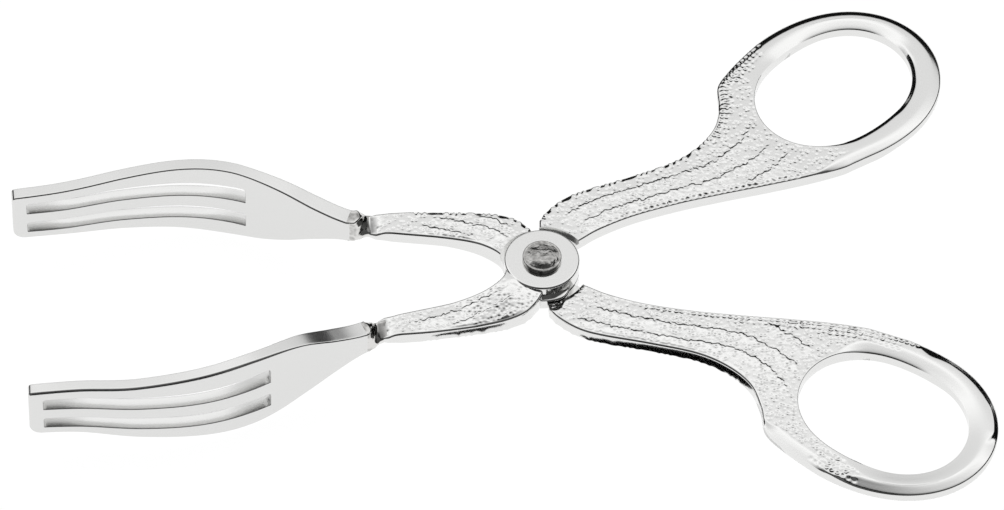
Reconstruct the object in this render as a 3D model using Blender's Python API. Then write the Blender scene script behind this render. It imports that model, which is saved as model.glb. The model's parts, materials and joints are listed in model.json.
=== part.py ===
"""Scissor tongs for sweets: two crossing cast halves on one rivet, each with a slotted blade.

World frame, in metres: the table is Z = 0, the finger loops point to +X and the blades to -X.
The halves are drawn in a frame of their own, level with their own mid-plane and centred on the
rivet, which seat_on_table then tilts until the blades and the loops rest on the table.
"""
import math

import bmesh
import bpy
import numpy as np
from mathutils import Matrix, Vector
from mathutils.geometry import tessellate_polygon

MM = 0.001

# Castings: handle, loop and arm in one
CAST_THICKNESS = 3.05 * MM
SHANK_EDGE_RADIUS = 0.35 * MM
LOOP_X = 63.8 * MM
LOOP_Y = 41.5 * MM
LOOP_HOLE_RADIUS = 15.4 * MM
LOOP_HOLE_SWING = 2.13 * MM
LOOP_HOLE_DIRECTION = math.radians(35)
LOOP_WALL = 5.6 * MM
LOOP_OUTER_SWING = 2.19 * MM
LOOP_OUTER_DIRECTION = math.radians(30)
LOOP_CROWN_FLAT = 1.1 * MM
LOOP_ROUNDING = 1.15 * MM
LOOP_START = math.radians(-75)
LOOP_END = math.radians(150)

# The loop's rim turns from crisp to round between these cosines from the loop's far side
CRISP_UP_TO = -0.75
ROUND_FROM = 0.1

# Edges of the handle in plan: from the rivet in millimetres along X and Y, then round the loop as
# pairs of degrees about its centre and millimetres outside its rim
OUTER_EDGE_FROM_RIVET = ((0.5, 11.2), (2.1, 13.5), (5.8, 16.6), (10.4, 18.6), (19.7, 21.35), (28.8, 24.5))
OUTER_EDGE_ROUND_LOOP = ((204.3, 8.9), (198.5, 3.75), (187.1, 1.65), (174.9, 1.95), (163.0, 1.0))
INNER_EDGE_FROM_RIVET = ((8.2, 5.6), (12.6, 8.2), (19.6, 11.05), (29.0, 13.55), (38.5, 15.4))
INNER_EDGE_ROUND_LOOP = ((236.4, 7.15), (251.2, 2.9), (267.8, 1.05))

# Edges of the arm in plan, in millimetres from the rivet, running on past the arm's end
ARM_OUTER_EDGE = ((-0.5, 7.8), (-1.9, 10.0), (-4.3, 12.3), (-8.2, 13.8), (-14.0, 14.6), (-23.0, 15.35),
                  (-32.0, 15.5), (-40.0, 15.5))
ARM_INNER_EDGE = ((-7.3, 0.8), (-8.2, 3.4), (-11.0, 5.6), (-14.5, 7.05), (-20.0, 8.4), (-26.0, 9.5),
                  (-32.0, 10.6), (-40.0, 12.1))
ARM_END = -33.7 * MM
ARM_END_TAPER = 0.4 * MM
ARM_END_ROUNDING = 1.2 * MM

# The lap at the rivet
BOSS_RADIUS = 7.55 * MM
BOSS_RISE = 1.83 * MM
BOSS_BEVEL = 0.3 * MM
BOSS_RUNOUT = 0.9 * MM
BOSS_RUNOUT_DIRECTION = math.radians(-135)
HANDLE_ROOT_GAP = 1.85 * MM
ARM_ROOT_GAP = 1.15 * MM
ROOT_GROOVE_DEPTH = 0.65 * MM
CLEARANCE = 0.3 * MM

# Rivet
RIVET_SHANK_RADIUS = 2.2 * MM
RIVET_HEAD_RADIUS = 3.9 * MM
RIVET_HEAD_HEIGHT = 1.2 * MM
RIVET_HEAD_CROWN = 0.25 * MM
RIVET_HEAD_BEVEL = 0.25 * MM
RIVET_TAIL_RADIUS = 3.6 * MM
RIVET_TAIL_HEIGHT = 1.0 * MM

# Brazed neck between arm and blade, as (place along it, swell) pairs
NECK_LENGTH = 2.6 * MM
NECK_SWELL = ((0, 0.85), (0.3, 1.0), (0.7, 1.1), (1, 1.0))
NECK_SQUARENESS = 0.6
NECK_SIDES = 16

# Blades: plan curve, side elevation and slots, in millimetres along X from the rivet
BLADE_THICKNESS = 2.6 * MM
BLADE_NECK_THICKNESS = 3.5 * MM
BLADE_TAPER_START = -58.0 * MM
BLADE_TAPER_END = -42.0 * MM
BLADE_EDGE_RADIUS = 0.3 * MM
BLADE_TIP = -104.2 * MM
BLADE_A_SET_BACK = 0.3 * MM
BLADE_B_SET_BACK = -0.6 * MM
BLADE_PLAN = ((-32.0, 12.6), (-36.0, 13.8), (-49.0, 19.1), (-60.0, 24.0), (-70.0, 26.3), (-82.0, 26.4),
              (-94.0, 25.0), (-104.2, 24.6), (-110.0, 24.6))
BLADE_TOP_EDGE = ((-32.0, 2.5), (-37.8, 2.6), (-43.4, 4.3), (-50.0, 6.9), (-57.0, 8.0), (-63.0, 8.0),
                  (-72.0, 6.8), (-85.0, 4.5), (-94.0, 3.6), (-104.2, 2.7), (-110.0, 2.2))
BLADE_BOTTOM_EDGE = ((-32.0, -3.0), (-37.8, -3.4), (-43.4, -5.6), (-49.5, -8.8), (-55.5, -11.2),
                     (-63.0, -12.1), (-74.0, -11.6), (-85.0, -10.9), (-95.0, -10.1), (-104.2, -10.1),
                     (-110.0, -10.1))
BLADE_TOP_CORNER = 0.8 * MM
BLADE_BOTTOM_CORNER = 2.4 * MM
SLOT_FRONT_BAR = 2.9 * MM
SLOT_REAR = -56.8 * MM
SLOT_CORNER = 1.1 * MM
SLOT_STATIONS = (-110.0, -91.0, -74.0, -57.0, -50.0)
UPPER_SLOT_MIDDLE = (-1.2, -0.45, 0.45, 1.6, 2.05)
UPPER_SLOT_HEIGHT = (2.7, 3.4, 3.85, 4.2, 4.3)
LOWER_SLOT_MIDDLE = (-6.8, -6.6, -6.5, -6.05, -5.75)
LOWER_SLOT_HEIGHT = (2.7, 3.1, 3.6, 3.8, 3.8)

# Mesh fineness
LOOP_ROUND_STEPS = 4
EDGE_ROUND_STEPS = 1
LOOP_STEPS = 40
EDGE_STEPS = 3
CURVE_STEPS = 8
CORNER_STEPS = 4
BORE_SIDES = 40
BEND_STEP = 2.8 * MM
SEATING_ROUNDS = 8

HALF = CAST_THICKNESS / 2
BOSS_TOP = HALF + BOSS_RISE
LAP = CLEARANCE / 2
BLADE_NECK = ARM_END - NECK_LENGTH
LOOP_CENTRE = Vector((LOOP_X, LOOP_Y))
HANDLE_ROOT_RADIUS = BOSS_RADIUS + HANDLE_ROOT_GAP
ARM_ROOT_RADIUS = BOSS_RADIUS + ARM_ROOT_GAP


def clear_scene():
    for item in list(bpy.data.objects):
        bpy.data.objects.remove(item, do_unlink=True)


def metal(name, colour, roughness):
    material = bpy.data.materials.new(name)
    material.use_nodes = True
    shader = material.node_tree.nodes["Principled BSDF"]
    shader.inputs["Base Color"].default_value = (*colour, 1)
    shader.inputs["Metallic"].default_value = 1
    shader.inputs["Roughness"].default_value = roughness
    return material


def smooth_through(points, steps):
    """A Catmull-Rom curve through points given in millimetres, sampled in metres."""
    knots = [Vector(point) * MM for point in points]
    knots = [2 * knots[0] - knots[1], *knots, 2 * knots[-1] - knots[-2]]
    curve = []
    for before, start, end, after in zip(knots, knots[1:], knots[2:], knots[3:]):
        for step in range(steps):
            t = step / steps
            curve.append(0.5 * (2 * start + (end - before) * t
                                + (2 * before - 5 * start + 4 * end - after) * t ** 2
                                + (3 * start - before - 3 * end + after) * t ** 3))
    curve.append(knots[-2])
    return curve


def height_along(points):
    """A smooth function of X through points given in millimetres."""
    curve = sorted(smooth_through(points, CURVE_STEPS), key=lambda point: point.x)
    xs = [point.x for point in curve]
    ys = [point.y for point in curve]
    return lambda x: float(np.interp(x, xs, ys))


def slope_of(curve, x):
    return (curve(x + MM / 2) - curve(x - MM / 2)) / MM


def ease(t):
    """Goes smoothly from 0 to 1 as t does, and stays there outside."""
    t = min(max(t, 0), 1)
    return t * t * (3 - 2 * t)


def hole_point(angle):
    """A point on the edge of the loop's oval hole, whose radius swings twice per turn."""
    radius = LOOP_HOLE_RADIUS + LOOP_HOLE_SWING * math.cos(2 * (angle - LOOP_HOLE_DIRECTION))
    return LOOP_CENTRE + Vector((math.cos(angle), math.sin(angle))) * radius


def rim_point(angle, outside=0.0):
    """A point on the loop's oval rim, or a distance outside it."""
    radius = (LOOP_HOLE_RADIUS + LOOP_WALL + outside
              + LOOP_OUTER_SWING * math.cos(2 * (angle - LOOP_OUTER_DIRECTION)))
    return LOOP_CENTRE + Vector((math.cos(angle), math.sin(angle))) * radius


def sweep(start, stop, steps):
    """Evenly spaced angles from start to stop, both included."""
    return [start + (stop - start) * step / steps for step in range(steps + 1)]


def inset(loop, distances):
    """Moves each point of a loop to its left by its own distance."""
    moved = []
    for index, point in enumerate(loop):
        tangent = (loop[(index + 1) % len(loop)] - loop[index - 1]).normalized()
        moved.append(point + Vector((-tangent.y, tangent.x)) * distances[index])
    return moved


def rounded_plate(name, loops, thickness, edges, steps):
    """A plate of constant thickness with elliptical edges.

    The outer loop runs anticlockwise and holes clockwise, so that the plate is on their left.
    edges(point) gives how far the rounding reaches in and how far it comes down.
    """
    mesh = bmesh.new()
    half = thickness / 2
    rims = []
    for loop in loops:
        reach = [edges(point) for point in loop]
        rings = []
        for side in (1, -1):
            for step in range(steps + 1)[::side]:
                angle = math.pi / 2 * (1 - step / steps)
                flat = inset(loop, [r[0] * (1 - math.cos(angle)) for r in reach])
                drops = [r[1] * (1 - math.sin(angle)) for r in reach]
                rings.append([mesh.verts.new((*p, side * (half - d))) for p, d in zip(flat, drops)])
        for upper, lower in zip(rings, rings[1:]):
            for index in range(len(loop)):
                following = (index + 1) % len(loop)
                mesh.faces.new((upper[index], lower[index], lower[following], upper[following]))
        rims.append(rings)
    for ring_index, order in ((0, 1), (-1, -1)):
        vertices = [vertex for rings in rims for vertex in rings[ring_index]]
        outlines = [[vertex.co for vertex in rings[ring_index]] for rings in rims]
        for corners in tessellate_polygon(outlines):
            mesh.faces.new([vertices[corner] for corner in corners][::order])
    bmesh.ops.recalc_face_normals(mesh, faces=mesh.faces)
    return mesh_object(name, mesh)


def mesh_object(name, mesh):
    data = bpy.data.meshes.new(name)
    mesh.to_mesh(data)
    mesh.free()
    item = bpy.data.objects.new(name, data)
    bpy.context.collection.objects.link(item)
    return item


def turned(name, profile, sides):
    """A solid of revolution about Z from (radius, height) points, bottom to top.

    A profile that starts and ends on the axis is solid. Any other one closes on itself.
    """
    mesh = bmesh.new()
    points = [mesh.verts.new((radius, 0, height)) for radius, height in profile]
    open_ends = profile[0][0] > 0
    edges = [mesh.edges.new(pair) for pair in zip(points, points[1:])]
    if open_ends:
        edges.append(mesh.edges.new((points[-1], points[0])))
    bmesh.ops.spin(mesh, geom=points + edges, axis=(0, 0, 1), cent=(0, 0, 0), steps=sides,
                   angle=2 * math.pi, use_merge=True)
    bmesh.ops.remove_doubles(mesh, verts=mesh.verts, dist=1e-7)
    bmesh.ops.recalc_face_normals(mesh, faces=mesh.faces)
    return mesh_object(name, mesh)


def loft(name, rings):
    """A closed solid through rings of equally many points."""
    mesh = bmesh.new()
    layers = [[mesh.verts.new(point) for point in ring] for ring in rings]
    for lower, upper in zip(layers, layers[1:]):
        for index in range(len(lower)):
            following = (index + 1) % len(lower)
            mesh.faces.new((lower[index], lower[following], upper[following], upper[index]))
    mesh.faces.new(layers[0])
    mesh.faces.new(layers[-1])
    bmesh.ops.recalc_face_normals(mesh, faces=mesh.faces)
    return mesh_object(name, mesh)


def circle(centre, radius, height):
    angles = [2 * math.pi * side / BORE_SIDES for side in range(BORE_SIDES)]
    return [(centre.x + radius * math.cos(a), centre.y + radius * math.sin(a), height) for a in angles]


def combine(target, tool, operation):
    """Applies a Boolean of the tool to the target and removes the tool."""
    modifier = target.modifiers.new(operation, "BOOLEAN")
    modifier.operation = operation
    modifier.object = tool
    depsgraph = bpy.context.evaluated_depsgraph_get()
    result = bpy.data.meshes.new_from_object(target.evaluated_get(depsgraph))
    target.modifiers.clear()
    target.data = result
    bpy.data.objects.remove(tool, do_unlink=True)


def disc(name, radius, bottom, top):
    return loft(name, [circle(Vector((0, 0)), radius, height) for height in (bottom, top)])


def shank_edge(point):
    return SHANK_EDGE_RADIUS, SHANK_EDGE_RADIUS


def handle_edge(point):
    """Crisp on the shank, round on the far side of the finger loop."""
    outward = (point - LOOP_CENTRE).normalized()
    facing = outward.dot(Vector((math.cos(LOOP_HOLE_DIRECTION), math.sin(LOOP_HOLE_DIRECTION))))
    blend = ease((facing - CRISP_UP_TO) / (ROUND_FROM - CRISP_UP_TO))
    reach = (LOOP_WALL - LOOP_CROWN_FLAT) / 2
    return (SHANK_EDGE_RADIUS + (reach - SHANK_EDGE_RADIUS) * blend,
            SHANK_EDGE_RADIUS + (LOOP_ROUNDING - SHANK_EDGE_RADIUS) * blend)


def shank_curve(from_rivet, round_loop):
    """One edge of the shank, from the rivet to the loop."""
    at_loop = [rim_point(math.radians(degrees), outside * MM) / MM for degrees, outside in round_loop]
    return smooth_through([*from_rivet, *at_loop], EDGE_STEPS)


def handle_blank():
    inner = shank_curve(INNER_EDGE_FROM_RIVET, INNER_EDGE_ROUND_LOOP)
    outer = shank_curve(OUTER_EDGE_FROM_RIVET, OUTER_EDGE_ROUND_LOOP)
    round_end = [rim_point(angle) for angle in sweep(LOOP_START, LOOP_END, LOOP_STEPS)]
    outline = [Vector((0, 0))] + inner + round_end + outer[::-1]
    hole = [hole_point(angle) for angle in sweep(2 * math.pi, 0, LOOP_STEPS)[:-1]]
    blank = rounded_plate("handle", [outline, hole], CAST_THICKNESS, handle_edge, LOOP_ROUND_STEPS)
    combine(blank, disc("lap", HANDLE_ROOT_RADIUS, -CAST_THICKNESS, LAP), "DIFFERENCE")
    groove = disc("groove", HANDLE_ROOT_RADIUS, HALF - ROOT_GROOVE_DEPTH, CAST_THICKNESS)
    combine(blank, groove, "DIFFERENCE")
    return blank


def arm_end_sides():
    """The Y of the outer and inner corners of the arm's end face."""
    return (height_along(ARM_OUTER_EDGE)(ARM_END) - ARM_END_TAPER,
            height_along(ARM_INNER_EDGE)(ARM_END) + ARM_END_TAPER)


def arm_blank():
    inboard = ARM_END + ARM_END_ROUNDING
    outer = [point for point in smooth_through(ARM_OUTER_EDGE, EDGE_STEPS) if point.x > inboard]
    inner = [point for point in smooth_through(ARM_INNER_EDGE, EDGE_STEPS) if point.x > inboard]
    end = [Vector((ARM_END, y)) for y in arm_end_sides()]
    outline = [Vector((0, 0))] + outer + end + inner[::-1]
    mirrored = [Vector((point.x, -point.y)) for point in outline[::-1]]
    blank = rounded_plate("arm", [mirrored], CAST_THICKNESS, shank_edge, EDGE_ROUND_STEPS)
    combine(blank, disc("lap", ARM_ROOT_RADIUS, -CAST_THICKNESS, LAP), "DIFFERENCE")
    return blank


def boss():
    body = turned("boss", [(0, LAP), (BOSS_RADIUS, LAP), (BOSS_RADIUS, BOSS_TOP - BOSS_BEVEL),
                           (BOSS_RADIUS - BOSS_BEVEL, BOSS_TOP), (0, BOSS_TOP)], BORE_SIDES)
    towards_arm = Vector((math.cos(BOSS_RUNOUT_DIRECTION), math.sin(BOSS_RUNOUT_DIRECTION))) * BOSS_RUNOUT
    runout = loft("runout", [circle(towards_arm, BOSS_RADIUS, LAP + CLEARANCE),
                             circle(towards_arm, BOSS_RADIUS, HALF - SHANK_EDGE_RADIUS),
                             circle(Vector((0, 0)), BOSS_RADIUS - BOSS_BEVEL, BOSS_TOP - BOSS_BEVEL / 2)])
    combine(body, runout, "UNION")
    return body


def casting_mesh():
    """One half in the rivet's frame: handle to the right and up, arm to the left and down."""
    body = handle_blank()
    combine(body, arm_blank(), "UNION")
    combine(body, boss(), "UNION")
    bore = disc("bore", RIVET_SHANK_RADIUS + CLEARANCE, -CAST_THICKNESS, 2 * BOSS_TOP)
    combine(body, bore, "DIFFERENCE")
    return body


def corner_cut(distance, radius):
    """How far a rounded corner has drawn the edge in, at a distance from the end."""
    short = max(radius - distance, 0)
    return radius - math.sqrt(max(radius ** 2 - short ** 2, 0))


def end_stations(start, stop, radii):
    """X stations from start to stop, closer together in the rounded corners at both ends."""
    stations = set()
    for end, inward, radius in ((start, 1, radii[0]), (stop, -1, radii[1])):
        for step in range(CORNER_STEPS + 1):
            stations.add(end + inward * radius * (1 - math.cos(math.pi / 2 * step / CORNER_STEPS)))
    span = stop - start
    count = round(span / (2 * BEND_STEP))
    low = start + radii[0]
    high = stop - radii[1]
    stations.update(low + (high - low) * step / count for step in range(1, count))
    return sorted(stations)


def slot_loop(middles, heights):
    middle = height_along(tuple(zip(SLOT_STATIONS, middles)))
    height = height_along(tuple(zip(SLOT_STATIONS, heights)))
    front = BLADE_TIP + SLOT_FRONT_BAR
    top = []
    bottom = []
    for x in end_stations(front, SLOT_REAR, (SLOT_CORNER, SLOT_CORNER)):
        cut = corner_cut(min(x - front, SLOT_REAR - x), SLOT_CORNER)
        top.append(Vector((x, middle(x) + height(x) / 2 - cut)))
        bottom.append(Vector((x, middle(x) - height(x) / 2 + cut)))
    return top + bottom[::-1]


def blade_outline():
    top_edge = height_along(BLADE_TOP_EDGE)
    bottom_edge = height_along(BLADE_BOTTOM_EDGE)
    top = []
    bottom = []
    for x in end_stations(BLADE_TIP, BLADE_NECK, (BLADE_BOTTOM_CORNER, 0)):
        top.append(Vector((x, top_edge(x) - corner_cut(x - BLADE_TIP, BLADE_TOP_CORNER))))
        bottom.append(Vector((x, bottom_edge(x) + corner_cut(x - BLADE_TIP, BLADE_BOTTOM_CORNER))))
    return bottom + top[::-1]


def blade_edge(point):
    return BLADE_EDGE_RADIUS, BLADE_EDGE_RADIUS


def blade_thickness(x):
    """Thicker at the neck, where the blade meets the arm."""
    swell = ease((x - BLADE_TAPER_START) / (BLADE_TAPER_END - BLADE_TAPER_START))
    return BLADE_THICKNESS + (BLADE_NECK_THICKNESS - BLADE_THICKNESS) * swell


def blade_normal(x):
    """The unit vector square to the blade's plan curve, pointing away from the other blade."""
    return Vector((-slope_of(height_along(BLADE_PLAN), x), 1)).normalized()


def blade(name, side, set_back):
    """A pierced flat blank, then formed to the plan curve on one side of the middle."""
    loops = [blade_outline(), slot_loop(UPPER_SLOT_MIDDLE, UPPER_SLOT_HEIGHT),
             slot_loop(LOWER_SLOT_MIDDLE, LOWER_SLOT_HEIGHT)]
    item = rounded_plate(name, loops, BLADE_THICKNESS, blade_edge, EDGE_ROUND_STEPS)
    mesh = bmesh.new()
    mesh.from_mesh(item.data)
    bmesh.ops.dissolve_limit(mesh, angle_limit=0.001, verts=mesh.verts, edges=mesh.edges)
    count = round((BLADE_NECK - BLADE_TIP) / BEND_STEP)
    for step in range(1, count):
        x = BLADE_TIP + (BLADE_NECK - BLADE_TIP) * step / count
        geometry = mesh.verts[:] + mesh.edges[:] + mesh.faces[:]
        bmesh.ops.bisect_plane(mesh, geom=geometry, dist=1e-7, plane_co=(x, 0, 0), plane_no=(1, 0, 0))
    bmesh.ops.triangulate(mesh, faces=mesh.faces)
    plan = height_along(BLADE_PLAN)
    for vertex in mesh.verts:
        x, z, across = vertex.co
        across *= blade_thickness(x) / BLADE_THICKNESS
        normal = blade_normal(x)
        vertex.co = (x + across * normal.x + set_back, side * (plan(x) + across * normal.y), z)
    if side > 0:
        bmesh.ops.reverse_faces(mesh, faces=mesh.faces)
    mesh.to_mesh(item.data)
    mesh.free()
    return item


def neck(name, side, set_back):
    """The brazed joint: a short swelling run of filler from the arm's end to the blade's."""
    outer, inner = arm_end_sides()
    top = height_along(BLADE_TOP_EDGE)(BLADE_NECK)
    bottom = height_along(BLADE_BOTTOM_EDGE)(BLADE_NECK)
    square = blade_normal(BLADE_NECK)
    blade_end = Vector((BLADE_NECK + set_back, height_along(BLADE_PLAN)(BLADE_NECK), (top + bottom) / 2))
    start = Vector((ARM_END - CLEARANCE, (outer + inner) / 2, 0))
    stop = blade_end + Vector((square.y, -square.x, 0)) * CLEARANCE
    start_size = Vector(((outer - inner) / 2, HALF))
    stop_size = Vector((blade_thickness(BLADE_NECK) / 2, (top - bottom) / 2))
    rings = []
    for t, swell in NECK_SWELL:
        centre = start.lerp(stop, t)
        size = start_size.lerp(stop_size, t) * swell
        across = Vector((0, 1)).lerp(square, t).normalized() * size.x
        ring = []
        for side_index in range(NECK_SIDES):
            angle = 2 * math.pi * side_index / NECK_SIDES
            wide = math.copysign(abs(math.cos(angle)) ** NECK_SQUARENESS, math.cos(angle))
            tall = math.copysign(abs(math.sin(angle)) ** NECK_SQUARENESS, math.sin(angle))
            ring.append((centre.x + wide * across.x, side * (centre.y + wide * across.y),
                         centre.z + tall * size.y))
        rings.append(ring)
    return loft(name, rings)


def rivet():
    seat = BOSS_TOP + CLEARANCE
    top = seat + RIVET_HEAD_HEIGHT
    rim = RIVET_HEAD_RADIUS - RIVET_HEAD_BEVEL
    tail = -seat - RIVET_TAIL_HEIGHT
    return turned("rivet", [
        (0, tail), (RIVET_TAIL_RADIUS - RIVET_HEAD_BEVEL, tail),
        (RIVET_TAIL_RADIUS, tail + RIVET_HEAD_BEVEL), (RIVET_TAIL_RADIUS, -seat),
        (RIVET_SHANK_RADIUS, -seat), (RIVET_SHANK_RADIUS, seat), (RIVET_HEAD_RADIUS, seat),
        (RIVET_HEAD_RADIUS, top - RIVET_HEAD_BEVEL), (rim, top),
        (rim / 2, top + RIVET_HEAD_CROWN * 3 / 4), (0, top + RIVET_HEAD_CROWN)], BORE_SIDES)


def resting_tilt(points):
    """The turn about Y that brings the lowest points before and behind the rivet level."""
    front = [point for point in points if point.x < 0]
    rear = [point for point in points if point.x > 0]
    tilt = 0.0
    for _ in range(SEATING_ROUNDS):
        turn = Matrix.Rotation(tilt, 3, "Y")
        low_front = min(front, key=lambda point: (turn @ point).z)
        low_rear = min(rear, key=lambda point: (turn @ point).z)
        run = low_rear - low_front
        tilt = math.atan2(run.z, run.x)
    return tilt


def seat_on_table(root):
    """Tilts the whole object about Y until it rests, and centres it over the origin."""
    bpy.context.view_layer.update()
    meshes = [item for item in bpy.data.objects if item.type == "MESH"]
    points = [item.matrix_world @ vertex.co for item in meshes for vertex in item.data.vertices]
    tilt = resting_tilt(points)
    turn = Matrix.Rotation(tilt, 3, "Y")
    tilted = [turn @ point for point in points]
    low = Vector([min(point[axis] for point in tilted) for axis in range(3)])
    high = Vector([max(point[axis] for point in tilted) for axis in range(3)])
    root.rotation_euler = (0, tilt, 0)
    root.location = (-(low.x + high.x) / 2, -(low.y + high.y) / 2, -low.z)


def finish(item, parent, material):
    item.parent = parent
    item.data.materials.clear()
    item.data.materials.append(material)
    item.data.shade_smooth()
    item.data.set_sharp_from_angle(angle=math.radians(35))


def build():
    clear_scene()
    plate = metal("silver plate on cast zinc", (0.86, 0.86, 0.85), 0.12)
    polished = metal("silver plate on pressed steel", (0.88, 0.88, 0.87), 0.06)
    filler = metal("brazing filler", (0.45, 0.44, 0.42), 0.35)
    steel = metal("steel rivet", (0.42, 0.42, 0.42), 0.3)

    root = bpy.data.objects.new("tongs", None)
    pivot = bpy.data.objects.new("pivot", None)
    bpy.context.collection.objects.link(root)
    bpy.context.collection.objects.link(pivot)
    pivot.parent = root

    handle_a = casting_mesh()
    handle_a.name = "handle_a"
    handle_b = bpy.data.objects.new("handle_b", handle_a.data.copy())
    bpy.context.collection.objects.link(handle_b)
    handle_b.rotation_euler = (math.pi, 0, 0)

    finish(handle_a, root, plate)
    finish(blade("blade_a", -1, BLADE_A_SET_BACK), root, polished)
    finish(neck("neck_a", -1, BLADE_A_SET_BACK), root, filler)
    finish(rivet(), root, steel)
    finish(handle_b, pivot, plate)
    finish(blade("blade_b", 1, BLADE_B_SET_BACK), pivot, polished)
    finish(neck("neck_b", 1, BLADE_B_SET_BACK), pivot, filler)
    seat_on_table(root)


build()
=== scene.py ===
# %% [markdown]
# # Candy tongs
# Two identical castings cross on one rivet. Each has an oval finger loop, a raised boss and an arm,
# and a slotted blade is brazed to the arm's end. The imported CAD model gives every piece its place.
# Here each piece gets the form and finish that a camera sees: flowing layers and stipple on the
# castings, rounded rims, a worn rivet and lumpy brazing.

# %% Load the frame
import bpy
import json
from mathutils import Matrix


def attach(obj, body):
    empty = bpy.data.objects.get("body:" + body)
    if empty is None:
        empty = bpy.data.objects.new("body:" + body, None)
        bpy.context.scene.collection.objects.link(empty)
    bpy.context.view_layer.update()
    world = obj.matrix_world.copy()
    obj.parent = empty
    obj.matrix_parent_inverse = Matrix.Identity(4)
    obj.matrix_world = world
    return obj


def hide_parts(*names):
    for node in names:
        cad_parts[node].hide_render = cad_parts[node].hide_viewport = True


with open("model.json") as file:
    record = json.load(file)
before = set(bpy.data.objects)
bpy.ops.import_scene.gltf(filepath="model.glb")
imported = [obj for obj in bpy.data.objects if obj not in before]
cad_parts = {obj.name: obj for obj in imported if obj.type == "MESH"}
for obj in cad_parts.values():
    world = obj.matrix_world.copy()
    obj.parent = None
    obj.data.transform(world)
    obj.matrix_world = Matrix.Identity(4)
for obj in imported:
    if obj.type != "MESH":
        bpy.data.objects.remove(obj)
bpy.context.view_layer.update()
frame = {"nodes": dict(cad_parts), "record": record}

import json
import math

import bmesh
import bpy
import numpy as np
from mathutils import Matrix, Vector, noise
from mathutils.geometry import delaunay_2d_cdt, tessellate_polygon

MM = 0.001
print("nodes:", sorted(frame["nodes"]))

# %% [markdown]
# The tongs are drawn in a frame of their own: the rivet stands upright at the origin and the
# castings' mid-plane is level. On the table they lean a little, because the loops are thinner than
# the blades are deep. The hinge in the record says where the rivet is and which way it points, so
# the lean comes from there. Half B is half A's casting turned over about the X axis.

# %% Place of the tongs on the table
hinge = frame["record"]["behaviour"]["joints"][0]
lean = math.atan2(hinge["axis"][0], hinge["axis"][2])
ON_TABLE = Matrix.Translation(hinge["pos_m"]) @ Matrix.Rotation(lean, 4, "Y")
TURNED_OVER = Matrix.Rotation(math.pi, 4, "X")
print(f"the tongs lean {math.degrees(lean):.2f} degrees")

# %% [markdown]
# The driving sizes are those of the CAD part, in millimetres from the rivet. The render needs the
# same curves with many more points: a reflection in polished metal shows every flat facet. So each
# outline is a smooth curve through a few measured points.

# %% Smooth curves
CURVE_STEPS = 16
HEIGHT_STEPS = 24


def smooth_through(points, steps):
    """A Catmull-Rom curve through points, with equally many steps between each pair."""
    knots = [Vector(point) for point in points]
    knots = [2 * knots[0] - knots[1], *knots, 2 * knots[-1] - knots[-2]]
    curve = []
    for before, start, end, after in zip(knots, knots[1:], knots[2:], knots[3:]):
        for step in range(steps):
            t = step / steps
            curve.append(0.5 * (2 * start + (end - before) * t
                                + (2 * before - 5 * start + 4 * end - after) * t ** 2
                                + (3 * start - before - 3 * end + after) * t ** 3))
    curve.append(knots[-2])
    return curve


def height_along(points):
    """A smooth function of X through points."""
    curve = sorted(smooth_through(points, HEIGHT_STEPS), key=lambda point: point.x)
    xs = [point.x for point in curve]
    ys = [point.y for point in curve]
    return lambda x: float(np.interp(x, xs, ys))


def evenly(curve, spacing):
    """Points along a curve at an even spacing, both ends included."""
    places = np.array([point[:2] for point in curve])
    along = np.concatenate([[0], np.cumsum(np.linalg.norm(np.diff(places, axis=0), axis=1))])
    count = max(2, round(along[-1] / spacing) + 1)
    wanted = np.linspace(0, along[-1], count)
    return [Vector((np.interp(place, along, places[:, 0]), np.interp(place, along, places[:, 1])))
            for place in wanted]


def ease(t):
    """Goes smoothly from 0 to 1 as t does, and stays there outside."""
    t = min(max(t, 0), 1)
    return t * t * (3 - 2 * t)


print("a quarter of the way along, a smooth step is at", ease(0.25))

# %% Thickness and clearance
CAST_THICKNESS = 3.05
HALF = CAST_THICKNESS / 2
CLEARANCE = 0.3
LAP = CLEARANCE / 2
print(f"castings {CAST_THICKNESS} mm thick, {CLEARANCE} mm apart in the lap")

# %% [markdown]
# The finger loop is what lies between two closed curves. Each is a circle whose radius swings twice
# in a turn, which makes it oval. The two ovals are turned a little against each other, as in the
# real casting, so the loop isn't equally wide all round.

# %% Finger loop
LOOP_CENTRE = Vector((63.8, 41.5))
LOOP_HOLE_RADIUS = 15.4
LOOP_HOLE_SWING = 2.13
LOOP_HOLE_DIRECTION = math.radians(35)
LOOP_WALL = 5.6
LOOP_OUTER_SWING = 2.19
LOOP_OUTER_DIRECTION = math.radians(30)


def round_loop(radius, swing, direction, angle):
    reach = radius + swing * math.cos(2 * (angle - direction))
    return LOOP_CENTRE + Vector((math.cos(angle), math.sin(angle))) * reach


def hole_point(angle):
    return round_loop(LOOP_HOLE_RADIUS, LOOP_HOLE_SWING, LOOP_HOLE_DIRECTION, angle)


def rim_point(angle, outside=0.0):
    radius = LOOP_HOLE_RADIUS + LOOP_WALL + outside
    return round_loop(radius, LOOP_OUTER_SWING, LOOP_OUTER_DIRECTION, angle)


print(f"finger hole {2 * (LOOP_HOLE_RADIUS - LOOP_HOLE_SWING):.1f} mm wide and "
      f"{2 * (LOOP_HOLE_RADIUS + LOOP_HOLE_SWING):.1f} mm long")

# %% [markdown]
# The shank's two edges start beside the rivet and run on to the outside of the loop. Their last
# points are given as (direction from the loop's centre in degrees, distance outside the loop), so
# each edge touches the loop where it ends.

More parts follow.
